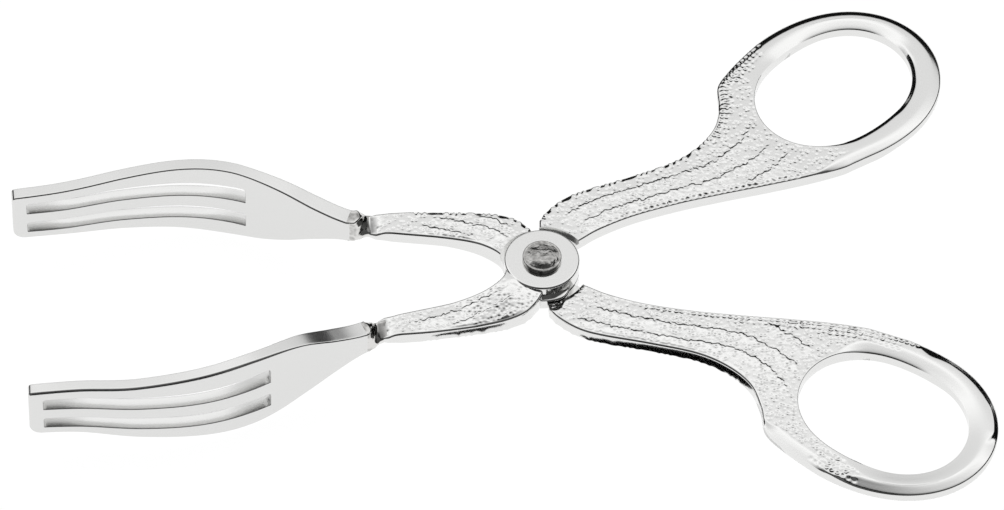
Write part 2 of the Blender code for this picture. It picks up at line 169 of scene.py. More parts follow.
# %% Shank
OUTER_EDGE_FROM_RIVET = ((0.5, 11.2), (2.1, 13.5), (5.8, 16.6), (10.4, 18.6), (19.7, 21.35), (28.8, 24.5))
OUTER_EDGE_ROUND_LOOP = ((204.3, 8.9), (198.5, 3.75), (187.1, 1.65), (174.9, 1.95), (163.0, 0.8),
                         (152.0, 0.15), (141.0, 0.0))
INNER_EDGE_FROM_RIVET = ((8.2, 5.6), (12.6, 8.2), (19.6, 11.05), (29.0, 13.55), (38.5, 15.4))
INNER_EDGE_ROUND_LOOP = ((236.4, 7.15), (251.2, 2.9), (267.8, 1.05), (276.0, 0.4), (284.0, 0.06),
                         (292.0, 0.0))


def shank_curve(from_rivet, at_loop):
    points = [rim_point(math.radians(degrees), outside) for degrees, outside in at_loop]
    return smooth_through([*from_rivet, *points], CURVE_STEPS)


OUTER_EDGE = shank_curve(OUTER_EDGE_FROM_RIVET, OUTER_EDGE_ROUND_LOOP)
INNER_EDGE = shank_curve(INNER_EDGE_FROM_RIVET, INNER_EDGE_ROUND_LOOP)
print(f"the shank's outer edge has {len(OUTER_EDGE)} points before it is spaced evenly")

# %% [markdown]
# A casting's edge is never one radius all round. On the shank it is crisp. Round the finger loop it
# was dressed and polished: the crown falls away gently and then rolls over in a steeper slope,
# which mirrors the dark room and gives the loop its black outline. Each section below is a list of
# (distance in from the wall, depth below the face). All of them are turned into equally many rings,
# so that any two can be blended.

# %% Edge sections
ROUND_STEPS = 12
SECTION_STEPS = 12
EDGE_RADIUS = 0.45
SECTIONS = {
    "dressed top": ((2.4, 0.0), (2.0, 0.02), (1.7, 0.055), (1.48, 0.09), (1.38, 0.125), (1.1, 0.21),
                    (0.8, 0.31), (0.5, 0.42), (0.25, 0.53), (0.1, 0.62), (0.03, 0.74), (0.0, 0.93)),
    "dressed under": ((2.5, 0.0), (2.2, 0.02), (2.0, 0.05), (1.87, 0.08), (1.77, 0.115), (1.4, 0.235),
                      (1.0, 0.36), (0.62, 0.48), (0.3, 0.59), (0.12, 0.68), (0.03, 0.78), (0.0, 0.95)),
    "soft": ((2.4, 0.0), (2.05, 0.03), (1.7, 0.08), (1.3, 0.15), (0.9, 0.23), (0.5, 0.31), (0.25, 0.37),
             (0.08, 0.43), (0.02, 0.47), (0.0, 0.55)),
    "steep": ((2.0, 0.0), (1.6, 0.02), (1.35, 0.06), (1.2, 0.11), (1.05, 0.18), (0.7, 0.36), (0.35, 0.54),
              (0.15, 0.64), (0.03, 0.74), (0.0, 0.9)),
    "worn": ((2.4, 0.0), (2.0, 0.03), (1.5, 0.09), (1.0, 0.16), (0.5, 0.24), (0.0, 0.32)),
    "struck": ((1.0, 0.0), (0.92, 0.02), (0.8, 0.09), (0.6, 0.23), (0.4, 0.37), (0.1, 0.58), (0.0, 0.68)),
    "notch": ((1.1, 0.0), (0.97, 0.02), (0.78, 0.09), (0.45, 0.23), (0.16, 0.36), (0.05, 0.44), (0.0, 0.6)),
    "hole": ((3.0, 0.0), (2.6, 0.03), (2.2, 0.08), (1.75, 0.155), (1.3, 0.235), (0.85, 0.315), (0.4, 0.39),
             (0.0, 0.46)),
    "hole rolled": ((3.0, 0.0), (2.6, 0.03), (2.2, 0.08), (1.75, 0.155), (1.3, 0.235), (0.95, 0.3),
                    (0.6, 0.375), (0.3, 0.45), (0.1, 0.51), (0.02, 0.55), (0.0, 0.6)),
    "hole steep": ((2.8, 0.0), (2.1, 0.01), (1.5, 0.03), (1.1, 0.06), (0.92, 0.09), (0.8, 0.16), (0.5, 0.4),
                   (0.22, 0.62), (0.0, 0.78)),
    "hole narrow": ((2.4, 0.0), (1.8, 0.01), (1.2, 0.03), (0.9, 0.06), (0.74, 0.1), (0.36, 0.24),
                    (0.0, 0.38))}


def rings_of(section):
    """The section as equally many points whatever its shape, so that sections can be blended."""
    curve = smooth_through(section, SECTION_STEPS)
    length = sum((b - a).length for a, b in zip(curve, curve[1:]))
    return evenly(curve, length / ROUND_STEPS)


def crisp_rings(radius):
    angles = [math.pi / 2 * (1 - step / ROUND_STEPS) for step in range(ROUND_STEPS + 1)]
    return [Vector((radius * (1 - math.cos(a)), radius * (1 - math.sin(a)))) for a in angles]


def blended(first, second, share):
    return [a.lerp(b, share) for a, b in zip(first, second)]


EDGE_RINGS = {name: rings_of(section) for name, section in SECTIONS.items()}
CRISP = crisp_rings(EDGE_RADIUS)
print(f"{len(EDGE_RINGS)} sections of {len(CRISP)} rings each")

# %% [markdown]
# Which section the loop's edge has depends on the direction from the loop's centre. A patch lays
# one section over what is there between four directions in degrees: it fades in from the first to
# the second and out from the third to the fourth. Side 1 is the top face of the casting and side -1
# the face below. The finger hole was dressed on one side only: there the crown falls towards it,
# and elsewhere its edge has a small radius.

# %% Patches of edge round the loop
RIM_PATCHES = {
    1: (("struck", (138, 150, 186, 196)), ("dressed top", (-105, -80, 150, 166)),
        ("soft", (-107, -87, -13, 7))),
    -1: (("worn", (132, 146, 170, 182)), ("dressed under", (-68, -48, 112, 130)),
         ("steep", (-54, -36, -4, 8)), ("struck", (-14, 2, 16, 26)), ("soft", (18, 38, 66, 112)))}
DRESSED_HOLE = {1: (-70, -30, 140, 185), -1: (-125, -75, 90, 150)}
HOLE_PATCHES = {
    1: (("hole rolled", (42, 58, 100, 122)), ("hole narrow", (-110, -75, -36, -14)),
        ("hole steep", (-38, -14, 22, 38))),
    -1: (("hole rolled", (-118, -92, -58, -36)),)}
HOLE_CORNER = 0.2
HOLE_CORNER_STEPS = 3
LEAST_CROWN = 0.1


def within(point, directions):
    """1 between the middle two of four directions round the loop, and 0 outside them all."""
    start, full, last, end = directions
    angle = math.degrees(math.atan2(point.y - LOOP_CENTRE.y, point.x - LOOP_CENTRE.x))
    angle = (angle - start) % 360 + start
    return ease((angle - start) / (full - start)) * ease((end - angle) / (end - last))


def patched(section, patches, point):
    """A section with each of the (name, directions) patches laid over it in turn."""
    for name, directions in patches:
        section = blended(section, EDGE_RINGS[name], within(point, directions))
    return section


def hole_edge(share):
    """The finger hole's edge section: a falling crown for a share of 1, a small radius for 0."""
    corner = HOLE_CORNER * (1 - share)
    size = LEAST_CROWN + (1 - LEAST_CROWN) * share
    section = [Vector((corner + ring.x * size, ring.y * size * share)) for ring in EDGE_RINGS["hole"]]
    foot = section[-1].y
    for back in range(HOLE_CORNER_STEPS + 1):
        a = math.pi / 2 / HOLE_CORNER_STEPS * back
        rounded = Vector((corner * (1 - math.cos(a)), foot + corner * (1 - math.sin(a))))
        section[-1 - back] = rounded.lerp(section[-1 - back], share)
    return section


print(f"{len(RIM_PATCHES[1])} patches on the top rim and {len(RIM_PATCHES[-1])} on the one below")

# %% [markdown]
# The shank's outer edge and the arm's were nicked by hand: chamfers of uneven size with crisp teeth
# between them. The nicks follow a cosine along the edge, and noise shifts them and changes their
# size, so that no two are alike.

# %% Nicked edge
NOTCH_PITCH = 2.0
NOTCH_SHIFT = 1.2
NOTCH_SHIFT_PITCH = 4.3
NOTCH_SHIFT_SEED = 4.7
NOTCH_SIZE = 0.95
NOTCH_SIZE_CHANGE = 0.5
NOTCH_SIZE_PITCH = 1.9
NOTCH_SIZE_SEED = 5.1
NOTCH_LEVEL = 0.75
NOTCH_SWING = 0.8


def notched(along):
    """The nicked edge's section at a distance along it."""
    shift = NOTCH_SHIFT * noise.noise((along / NOTCH_SHIFT_PITCH, 0, NOTCH_SHIFT_SEED))
    phase = along / NOTCH_PITCH + shift
    size = NOTCH_SIZE + NOTCH_SIZE_CHANGE * noise.noise((along / NOTCH_SIZE_PITCH, NOTCH_SIZE_SEED, 0))
    share = ease(NOTCH_LEVEL + NOTCH_SWING * math.cos(2 * math.pi * phase))
    return blended(CRISP, EDGE_RINGS["notch"], size * share)


print(f"a nick about every {NOTCH_PITCH} mm")

# %% [markdown]
# A plate is drawn as rings: each loop of its outline is moved inward and down by its edge section,
# and the level faces are filled last. The section may change from point to point. Round things are
# lofted from circles, and a Boolean cuts or joins where two forms meet at a sharp corner.

# %% Plates
def inset(loop, distances):
    """Moves each point of a loop to its left by its own distance."""
    moved = []
    for index, point in enumerate(loop):
        tangent = (loop[(index + 1) % len(loop)] - loop[index - 1]).normalized()
        moved.append(point + Vector((-tangent.y, tangent.x)) * distances[index])
    return moved


def rounded_plate(loops, half, top_sections, under_sections, wall_steps=1):
    """A plate with rounded edges. The outer loop runs anticlockwise and holes run clockwise."""
    mesh = bmesh.new()
    rims = []
    for loop, upper_section, lower_section in zip(loops, top_sections, under_sections):
        places = []
        for side, section in ((1, upper_section), (-1, lower_section)):
            for step in range(ROUND_STEPS + 1)[::side]:
                flat = inset(loop, [points[step].x for points in section])
                places.append([Vector((*place, side * (half - points[step].y)))
                               for place, points in zip(flat, section)])
        wall_top, wall_foot = places[ROUND_STEPS:ROUND_STEPS + 2]
        places[ROUND_STEPS + 1:ROUND_STEPS + 1] = [
            [high.lerp(low, step / wall_steps) for high, low in zip(wall_top, wall_foot)]
            for step in range(1, wall_steps)]
        rings = [[mesh.verts.new(place) for place in ring] for ring in places]
        for upper, lower in zip(rings, rings[1:]):
            for index in range(len(loop)):
                following = (index + 1) % len(loop)
                mesh.faces.new((upper[index], lower[index], lower[following], upper[following]))
        rims.append(rings)
    for ring_index, order in ((0, 1), (-1, -1)):
        vertices = [vertex for rings in rims for vertex in rings[ring_index]]
        outlines = [[vertex.co for vertex in rings[ring_index]] for rings in rims]
        for corners in tessellate_polygon(outlines):
            mesh.faces.new([vertices[corner] for corner in corners][::order])
    bmesh.ops.recalc_face_normals(mesh, faces=mesh.faces)
    return mesh


def piece(name, mesh):
    """A new object from a bmesh drawn in millimetres."""
    data = bpy.data.meshes.new(name)
    mesh.to_mesh(data)
    mesh.free()
    item = bpy.data.objects.new(name, data)
    bpy.context.collection.objects.link(item)
    return item


print("each face of a plate has", ROUND_STEPS + 1, "rings in its edge")

# %% Turned pieces, lofts and Booleans
TURNED_SIDES = 128


def combine(target, tool, operation):
    """Joins a tool to the target or cuts it out of it, and removes the tool."""
    modifier = target.modifiers.new(operation, "BOOLEAN")
    modifier.operation = operation
    modifier.object = tool
    depsgraph = bpy.context.evaluated_depsgraph_get()
    result = bpy.data.meshes.new_from_object(target.evaluated_get(depsgraph))
    target.modifiers.clear()
    target.data = result
    bpy.data.objects.remove(tool, do_unlink=True)


def loft(rings):
    """A solid through rings of equally many points, closed at both ends."""
    mesh = bmesh.new()
    levels = [[mesh.verts.new(point) for point in ring] for ring in rings]
    for lower, upper in zip(levels, levels[1:]):
        for index in range(len(lower)):
            following = (index + 1) % len(lower)
            mesh.faces.new((lower[index], lower[following], upper[following], upper[index]))
    mesh.faces.new(levels[0])
    mesh.faces.new(levels[-1])
    bmesh.ops.recalc_face_normals(mesh, faces=mesh.faces)
    return mesh


def circle(radius, height):
    angles = [2 * math.pi * side / TURNED_SIDES for side in range(TURNED_SIDES)]
    return [(radius * math.cos(a), radius * math.sin(a), height) for a in angles]


def turned(profile):
    """A solid of revolution through (radius, height) points, closed by its first and last ring."""
    return loft([circle(radius, height) for radius, height in profile])


def disc(name, radius, bottom, top):
    return piece(name, turned([(radius, bottom), (radius, top)]))


print("turned pieces have", TURNED_SIDES, "sides")

# %% [markdown]
# The casting is cut like the real pattern: a plate with its finger hole, hollowed at the root so
# that the other half's boss can nest in it, then the arm and the boss joined on, and the bore last.
# The joining uses Booleans, which keep the sharp inner corners of the lap.

# %% Handle blank
BOSS_RADIUS = 7.55
HANDLE_ROOT_RADIUS = BOSS_RADIUS + 1.85
ROOT_GROOVE_RADIUS = HANDLE_ROOT_RADIUS + 0.3
ROOT_GROOVE_DEPTH = 1.0
ROOT_GROOVE_FLOOR = HALF - ROOT_GROOVE_DEPTH
OUTLINE_STEP = 0.3
LOOP_START = math.radians(-68)
LOOP_END = math.radians(141)
LOOP_STEPS = 300
HOLE_STEPS = 360
NOTCHED_SHARE = 0.6


def spaced_out(outline):
    """Leaves out points that fall almost on the one before."""
    return [point for index, point in enumerate(outline)
            if (point - outline[index - 1]).length > OUTLINE_STEP / 4]


def edge_sections(outline, hole, notches, side):
    """The handle's edge sections on one face, round its outline and round its finger hole."""
    outside = [patched(notches.get(index, CRISP), RIM_PATCHES[side], point)
               for index, point in enumerate(outline)]
    inside = [patched(hole_edge(within(point, DRESSED_HOLE[side])), HOLE_PATCHES[side], point)
              for point in hole]
    return [outside, inside]


def handle_blank():
    turn = LOOP_END - LOOP_START
    round_end = [rim_point(LOOP_START + turn * step / LOOP_STEPS) for step in range(LOOP_STEPS + 1)]
    inner = evenly(INNER_EDGE, OUTLINE_STEP)
    outer = evenly(OUTER_EDGE, OUTLINE_STEP)
    outline = spaced_out([Vector((0, 0))] + inner + evenly(round_end, OUTLINE_STEP) + outer[::-1])
    notches = {len(outline) - 1 - step: notched(step * OUTLINE_STEP)
               for step in range(round(len(outer) * NOTCHED_SHARE))}
    hole = [hole_point(-2 * math.pi * step / HOLE_STEPS) for step in range(HOLE_STEPS)]
    top = edge_sections(outline, hole, notches, 1)
    under = edge_sections(outline, hole, {}, -1)
    blank = piece("handle", rounded_plate([outline, hole], HALF, top, under))
    combine(blank, disc("lap", HANDLE_ROOT_RADIUS, -CAST_THICKNESS, LAP), "DIFFERENCE")
    combine(blank, disc("groove", ROOT_GROOVE_RADIUS, ROOT_GROOVE_FLOOR, CAST_THICKNESS), "DIFFERENCE")
    return blank


casting = handle_blank()
print("handle blank:", len(casting.data.polygons), "faces")

# %% [markdown]
# The halves cross at the rivet, so half A's handle is on the far side and its arm on the near side.
# The arm's edges are given as on the far side and are mirrored here. Its outer edge is nicked too,
# on the face below, and its end is cut square with the corners taken off.

# %% Arm blank
ARM_OUTER_EDGE = ((-0.5, 7.8), (-1.9, 10.0), (-4.3, 12.3), (-8.2, 13.8), (-14.0, 14.6), (-23.0, 15.35),
                  (-32.0, 15.5), (-40.0, 15.5))
ARM_INNER_EDGE = ((-7.3, 0.8), (-8.2, 3.4), (-11.0, 5.6), (-14.5, 7.05), (-20.0, 8.4), (-26.0, 9.5),
                  (-32.0, 10.6), (-40.0, 12.1))
ARM_END = -33.7
ARM_END_TAPER = 0.4
ARM_END_ROUNDING = 1.2
ARM_NOTCHES = 90
ARM_ROOT_RADIUS = BOSS_RADIUS + 1.15


def arm_end_sides():
    return (height_along(ARM_OUTER_EDGE)(ARM_END) - ARM_END_TAPER,
            height_along(ARM_INNER_EDGE)(ARM_END) + ARM_END_TAPER)


def arm_outline():
    inboard = ARM_END + ARM_END_ROUNDING
    outer, inner = ([point for point in smooth_through(edge, CURVE_STEPS) if point.x > inboard]
                    for edge in (ARM_OUTER_EDGE, ARM_INNER_EDGE))
    end = [Vector((ARM_END, y)) for y in arm_end_sides()]
    outline = [Vector((0, 0))] + evenly(outer, OUTLINE_STEP) + end + evenly(inner[::-1], OUTLINE_STEP)
    return [Vector((point.x, -point.y)) for point in outline[::-1]]


def arm_blank():
    outline = arm_outline()
    sections = [CRISP] * len(outline)
    for count in range(ARM_NOTCHES):
        sections[-2 - count] = notched(count * OUTLINE_STEP)
    blank = piece("arm", rounded_plate([outline], HALF, [[CRISP] * len(outline)], [sections]))
    combine(blank, disc("lap", ARM_ROOT_RADIUS, -CAST_THICKNESS, LAP), "DIFFERENCE")
    return blank


combine(casting, arm_blank(), "UNION")
print("with the arm:", len(casting.data.polygons), "faces")

# %% [markdown]
# The boss is a turned disc with a rolled upper edge. It starts at the lap, halfway down the casting,
# and stands above the face. A low ledge runs round part of its foot and fades out at both ends, so
# it is a fan of points round the middle rather than a turned piece.

# %% Boss and bore
BOSS_TOP = HALF + 1.83
BOSS_BEVEL = 0.45
BOSS_RIM_FLAT = 0.1
BEVEL_STEPS = 6
LEDGE_REACH = 0.95
LEDGE_ROOT = 0.3
LEDGE_FROM = math.radians(-130)
LEDGE_TO = math.radians(-38)
LEDGE_FADE_IN = math.radians(20)
LEDGE_FADE_OUT = math.radians(30)
LEDGE_STEPS = 60
LEDGE_CORNER = ((0, 0.13), (0.06, 0.04), (0.18, 0))
RIVET_SHANK_RADIUS = 2.2


def rolled_edge(radius, top, bevel):
    """The rounded upper edge of a turned piece, as (radius, height) points."""
    return [(radius - bevel * (1 - math.cos(a)), top - bevel * (1 - math.sin(a)))
            for a in np.linspace(0, math.pi / 2, BEVEL_STEPS + 1)]


def boss():
    """The raised disc, with a ledge at its foot that the other half's root covers in part."""
    rolled = rolled_edge(BOSS_RADIUS, BOSS_TOP, BOSS_BEVEL)
    flat_from = BOSS_RADIUS - BOSS_BEVEL - BOSS_RIM_FLAT
    body = piece("boss", turned([(BOSS_RADIUS, LAP), *rolled, (flat_from, BOSS_TOP)]))
    corner = [(inward, ROOT_GROOVE_FLOOR - below) for inward, below in LEDGE_CORNER]
    rings = []
    for inward, height in ((0, LAP), *corner):
        arc = []
        for angle in np.linspace(LEDGE_FROM, LEDGE_TO, LEDGE_STEPS):
            share = ease((angle - LEDGE_FROM) / LEDGE_FADE_IN) * ease((LEDGE_TO - angle) / LEDGE_FADE_OUT)
            radius = BOSS_RADIUS - LEDGE_ROOT + (LEDGE_REACH + LEDGE_ROOT) * share - inward
            arc.append((radius * math.cos(angle), radius * math.sin(angle), height))
        rings.append([(0, 0, height), *arc])
    combine(body, piece("ledge", loft(rings)), "UNION")
    return body


combine(casting, boss(), "UNION")
combine(casting, disc("bore", RIVET_SHANK_RADIUS + CLEARANCE, -CAST_THICKNESS, 2 * BOSS_TOP), "DIFFERENCE")
print("casting:", len(casting.data.polygons), "faces before its relief")

# %% [markdown]
# The pattern for the casting was carved by hand. Layers like bark or feathers flow along the shank:
# each rises gently and ends in a sharp, ragged step. The two faces are carved differently. Each
# line below is one step, as points in millimetres, drawn so that the high side is on its left.

# %% Lines of the relief
TOP_LINES = (
    ((46.5, 33.5), (43.5, 28.8), (41, 26.6), (38.5, 24.7), (36, 23), (33.5, 22.2), (31, 21.5),
     (28, 20.4), (25, 19.6), (22, 18.7), (19, 17.9), (16, 17), (13, 16.1), (10, 14.5), (7.5, 13.3),
     (5.3, 12)),
    ((49.5, 28.5), (48.5, 26.8), (47, 25.5), (45, 23.5), (42, 22.1), (39.5, 20.5), (37, 19.3),
     (34, 18.3), (31, 17.7), (28, 16.9), (25, 16), (22, 15.1), (19, 14.3), (16, 13.4), (13, 12),
     (10, 10.6), (8, 9.3)),
    ((53.5, 26), (52, 24.3), (50, 22.2), (48, 20.6), (46, 19.6), (43.5, 18.3), (41, 17.2)),
    ((-6.5, -5.3), (-9, -6.7), (-12, -8), (-15, -9.3), (-18, -10.3), (-21, -11.2), (-24, -12),
     (-27, -12.4)),
    ((-5, -7.2), (-8, -9), (-11, -10.4), (-14, -11.9), (-17, -13), (-20, -13.6)),
    ((-5.8, -11.1), (-7.5, -11.8), (-9, -12.8), (-11.5, -13.9)))
UNDER_LINES = (
    ((9, 10.8), (12, 12.5), (15, 13.7), (18, 14.8), (21, 15.5), (24, 16.4), (27, 17.2), (30, 17.8),
     (33, 18.5), (36, 19.5), (38, 20.3), (40, 21.3), (43, 23.7), (45.5, 26), (47.5, 28), (49, 29.8)),
    ((5, 13.5), (9, 15), (12, 16.3), (15, 17.2), (18, 18.3), (21, 19.1), (25, 20.4), (28, 21.2),
     (31, 22), (34, 22.9), (37, 24.2), (39.5, 26), (42, 28.3), (43.5, 30.3), (45, 33), (46, 35.5)),
    ((42, 17), (44, 18), (46, 20), (48, 21.7), (50, 23.5), (52, 25.6)),
    ((-13, -13.6), (-11, -13.2), (-9, -12.6), (-7, -11.3), (-5.5, -10), (-4.5, -9.3)),
    ((-21, -13.6), (-18, -12.9), (-15, -11.9), (-13, -11.2), (-11, -10.6), (-9, -9.7), (-7, -8.2),
     (-5.5, -7)),
    ((-24, -11.6), (-22, -11.3), (-20, -10.5), (-18, -10), (-16, -9.5), (-14, -8.6), (-12, -8)))
print(len(TOP_LINES), "steps on the top face and", len(UNDER_LINES), "on the one below")

# %% [markdown]
# A point's height comes from its distance to each line. Right behind the line the layer is at its
# highest, and from there it sinks back gently. Noise added to the distance makes the step ragged.

# %% Stepped layers
STEP_HEIGHT = 0.19
STEP_WIDTH = 0.38
LAYER_RUN = 2.4
LAYER_REACH = 4 * LAYER_RUN
RAGGEDNESS = 0.55
RAG_PITCH = 1.1
FINE_RAG_PITCH = RAG_PITCH / 2.1
FINE_RAG_SHARE = 0.5
FINE_RAG_SEED = 7
LINE_FADE = 4
LINE_END_SHARE = 0.15


def field(places, pitch, seed):
    """Smooth noise between -1 and 1 at each place."""
    return np.array([noise.noise((x / pitch, y / pitch, seed)) for x, y in places])


def from_line(places, line):
    """Signed distance to a line, positive on its left, and the distance from its nearer end."""
    line = np.array(line, float)
    best = np.full(len(places), np.inf)
    signed = np.zeros(len(places))
    along = np.zeros(len(places))
    run = 0.0
    for start, end in zip(line, line[1:]):
        step = end - start
        length = np.linalg.norm(step)
        offset = places - start
        t = np.clip(offset @ step / length ** 2, 0, 1)
        away = np.linalg.norm(offset - t[:, None] * step, axis=1)
        nearer = away < best
        best[nearer] = away[nearer]
        side = np.sign(offset[:, 1] * step[0] - offset[:, 0] * step[1])
        signed[nearer] = (away * side)[nearer]
        along[nearer] = (run + t * length)[nearer]
        run += length
    return signed, np.minimum(along, run - along)


def smooth(values):
    """ease() for an array."""
    values = np.clip(values, 0, 1)
    return values * values * (3 - 2 * values)


def layers(places, lines, seed):
    """Steps that rise sharply at each line and sink back gently behind it."""
    ragged = (field(places, RAG_PITCH, seed)
              + FINE_RAG_SHARE * field(places, FINE_RAG_PITCH, seed + FINE_RAG_SEED))
    height = np.zeros(len(places))
    for line in lines:
        signed, from_end = from_line(places, line)
        signed = signed + ragged * RAGGEDNESS
        near = np.abs(signed) < LAYER_REACH
        rise = smooth(signed / STEP_WIDTH + 0.5) * np.exp(-np.maximum(signed, 0) / LAYER_RUN)
        height += STEP_HEIGHT * rise * smooth(from_end / LINE_FADE + LINE_END_SHARE) * near
    return height


print(f"a step rises {STEP_HEIGHT} mm within {STEP_WIDTH} mm")

# %% [markdown]
# Between the steps, shallow dimples cover the ground. Rows of deeper pits, made with a small round
# punch, follow the edges and run out round the loop.

# %% Dimples and punch marks
DIMPLE_PITCH = 0.88
DIMPLE_REACH = 0.58
DIMPLE_DEPTH = 0.12
PUNCH_RADIUS = 0.55
PUNCH_DEPTH = 0.25
FADE_IN_MARKS = 8
MARK_STRENGTH = 0.8
MARK_UNEVENNESS = 0.5
MARK_NOISE_STEP = 1.7
ARC_STEPS = 60


def dimples(places, seed):
    """Shallow pits of uneven size, one to each cell of an irregular net."""
    height = np.zeros(len(places))
    for index, (x, y) in enumerate(places):
        nearest = noise.voronoi((x / DIMPLE_PITCH, y / DIMPLE_PITCH, seed))[0][0]
        height[index] = -DIMPLE_DEPTH * max(0, 1 - (nearest / DIMPLE_REACH) ** 2) ** 2
    return height


def punch_marks(places, marks):
    """Round pits at (centre, strength), made with a small punch."""
    height = np.zeros(len(places))
    for centre, strength in marks:
        away = np.linalg.norm(places - np.array(centre[:2]), axis=1) / PUNCH_RADIUS
        height = np.minimum(height, -PUNCH_DEPTH * strength * (1 - np.minimum(away, 1) ** 2))
    return height


def row(curve, start, stop, inward, pitch, strength):
    """Marks along part of a curve, a distance to its right, that fade in at the start."""
    points = evenly(curve, pitch)
    first = max(round(start * (len(points) - 1)), 1)
    last = min(round(stop * (len(points) - 1)), len(points) - 1)
    marks = []
    for index in range(first, last):
        tangent = (points[index + 1] - points[index - 1]).normalized()
        fade = min(1, (index - first + 2) / FADE_IN_MARKS)
        uneven = MARK_STRENGTH + MARK_UNEVENNESS * noise.noise((index * MARK_NOISE_STEP, inward, 0))
        place = points[index] + Vector((tangent.y, -tangent.x)) * inward
        marks.append((place, strength * (fade * uneven)))
    return marks


def loop_arc(first, last):
    """Part of the loop's outside between two directions in degrees."""
    return [rim_point(math.radians(first + (last - first) * step / ARC_STEPS))
            for step in range(ARC_STEPS + 1)]


def punch_rows(*settings):
    return [mark for setting in settings for mark in row(*setting)]


TOP_MARKS = punch_rows(
    (OUTER_EDGE, 0.55, 1.0, 0.85, 1.2, 1.0), (OUTER_EDGE, 0.6, 1.0, 1.8, 1.2, 0.8),
    (OUTER_EDGE, 0.66, 1.0, 2.75, 1.25, 0.5), (INNER_EDGE, 0.1, 0.75, -0.6, 1.3, 0.8),
    (loop_arc(150, 136), 0, 1, 0.85, 1.2, 1.5), (loop_arc(150, 142), 0, 1, 1.8, 1.2, 1.0))
UNDER_MARKS = punch_rows(
    (INNER_EDGE, 0.1, 1.0, -0.8, 1.2, 0.8), (INNER_EDGE, 0.45, 1.0, -1.75, 1.2, 0.7),
    (INNER_EDGE, 0.7, 1.0, -2.7, 1.2, 0.5), (loop_arc(268, 303), 0, 1, -0.8, 1.2, 1.2),
    (loop_arc(150, 112), 0, 1, 1.1, 1.25, 1.1), (loop_arc(148, 119), 0, 1, 2.1, 1.3, 0.8),
    (loop_arc(152, 116), 0, 1, 3.1, 1.25, 0.4), (loop_arc(150, 124), 0, 1, 4.2, 1.3, 0.35))
print(len(TOP_MARKS), "punch marks on the top and", len(UNDER_MARKS), "under it")

# %% [markdown]
# Relief needs points to move. The flat faces are taken off, their outlines are filled again with a
# close grid of points by a constrained triangulation, and each point is raised or sunk. A Displace
# modifier would need the same points, and it couldn't leave the outline where it is.

# %% Fill a flat face with points
ROW_PITCH = math.sqrt(3) / 2
LEAST_CLEARANCE = 0.4
CLEARANCE_REACH = 3
LEVEL_NORMAL = 0.9999
WELD = 1e-4
SAME_POINT = 1e-6
TRIANGLES_WITHIN_EDGES = 1


def inside_outline(grid, starts, ends):
    """Which points are inside the outline, and how far from it they are, where it is near."""
    inside = np.zeros(len(grid), bool)
    clearance = np.full(len(grid), np.inf)
    for start, end in zip(starts, ends):
        step = end - start
        crosses = (start[1] > grid[:, 1]) != (end[1] > grid[:, 1])
        if crosses.any():
            at = start[0] + (grid[crosses, 1] - start[1]) / (end[1] - start[1]) * step[0]
            inside[crosses] ^= grid[crosses, 0] < at
        near = np.abs(grid[:, 0] - (start[0] + end[0]) / 2) < CLEARANCE_REACH
        offset = grid[near] - start
        t = np.clip(offset @ step / max(step @ step, 1e-12), 0, 1)
        away = np.linalg.norm(offset - t[:, None] * step, axis=1)
        clearance[near] = np.minimum(clearance[near], away)
    return inside, clearance


def refill(mesh, side, level, spacing, wanted, lift):
    """Fills a flat face again with a grid of points, each raised by lift(places, clearance)."""
    flat = [face for face in mesh.faces
            if face.normal.z * side > LEVEL_NORMAL and abs(face.verts[0].co.z - side * level) < WELD]
    inside = set(flat)
    border = [edge for face in flat for edge in face.edges
              if sum(linked in inside for linked in edge.link_faces) == 1]
    verts = list(dict.fromkeys(vertex for edge in border for vertex in edge.verts))
    number = {vertex: index for index, vertex in enumerate(verts)}
    outline = np.array([vertex.co.xy for vertex in verts])
    starts = np.array([edge.verts[0].co.xy for edge in border])
    ends = np.array([edge.verts[1].co.xy for edge in border])
    low = outline.min(axis=0)
    high = outline.max(axis=0)
    rows = np.arange(low[1], high[1], spacing * ROW_PITCH)
    grid = np.array([(x + (spacing / 2 if line % 2 else 0), y) for line, y in enumerate(rows)
                     for x in np.arange(low[0], high[0], spacing)])
    grid = grid[wanted(grid) > 0]
    inner, clearance = inside_outline(grid, starts, ends)
    kept = inner & (clearance > spacing * LEAST_CLEARANCE)
    grid = grid[kept]
    height = np.concatenate([np.zeros(len(outline)), lift(grid, clearance[kept])])
    points = [Vector(place) for place in outline] + [Vector(place) for place in grid]
    edges = [(number[edge.verts[0]], number[edge.verts[1]]) for edge in border]
    coords, _, faces, origins, _, _ = delaunay_2d_cdt(points, edges, [], TRIANGLES_WITHIN_EDGES,
                                                    SAME_POINT)
    places = np.array(coords)
    middles = np.array([places[face].mean(axis=0) for face in faces])
    filled, _ = inside_outline(middles, starts, ends)
    bmesh.ops.delete(mesh, geom=flat, context="FACES_ONLY")
    made = []
    for place, origin in zip(coords, origins):
        source = min(origin)
        if source < len(outline):
            made.append(verts[source])
        else:
            made.append(mesh.verts.new((*place, side * (level + height[source]))))
    for corners, solid in zip(faces, filled):
        if solid:
            mesh.faces.new([made[corner] for corner in corners][::side])
    bmesh.ops.delete(mesh, geom=[edge for edge in mesh.edges if not edge.link_faces], context="EDGES")
    bmesh.ops.delete(mesh, geom=[vertex for vertex in mesh.verts if not vertex.link_faces], context="VERTS")
    mesh.normal_update()
    return len(grid)


print(f"rows of points lie {ROW_PITCH:.3f} of the spacing apart, which makes equal-sided triangles")

# %% [markdown]
# Towards the outline the relief fades out, so the edges keep their shape. It also ends where the
# polished part of the loop begins, and where the ramp to the boss was smoothed.

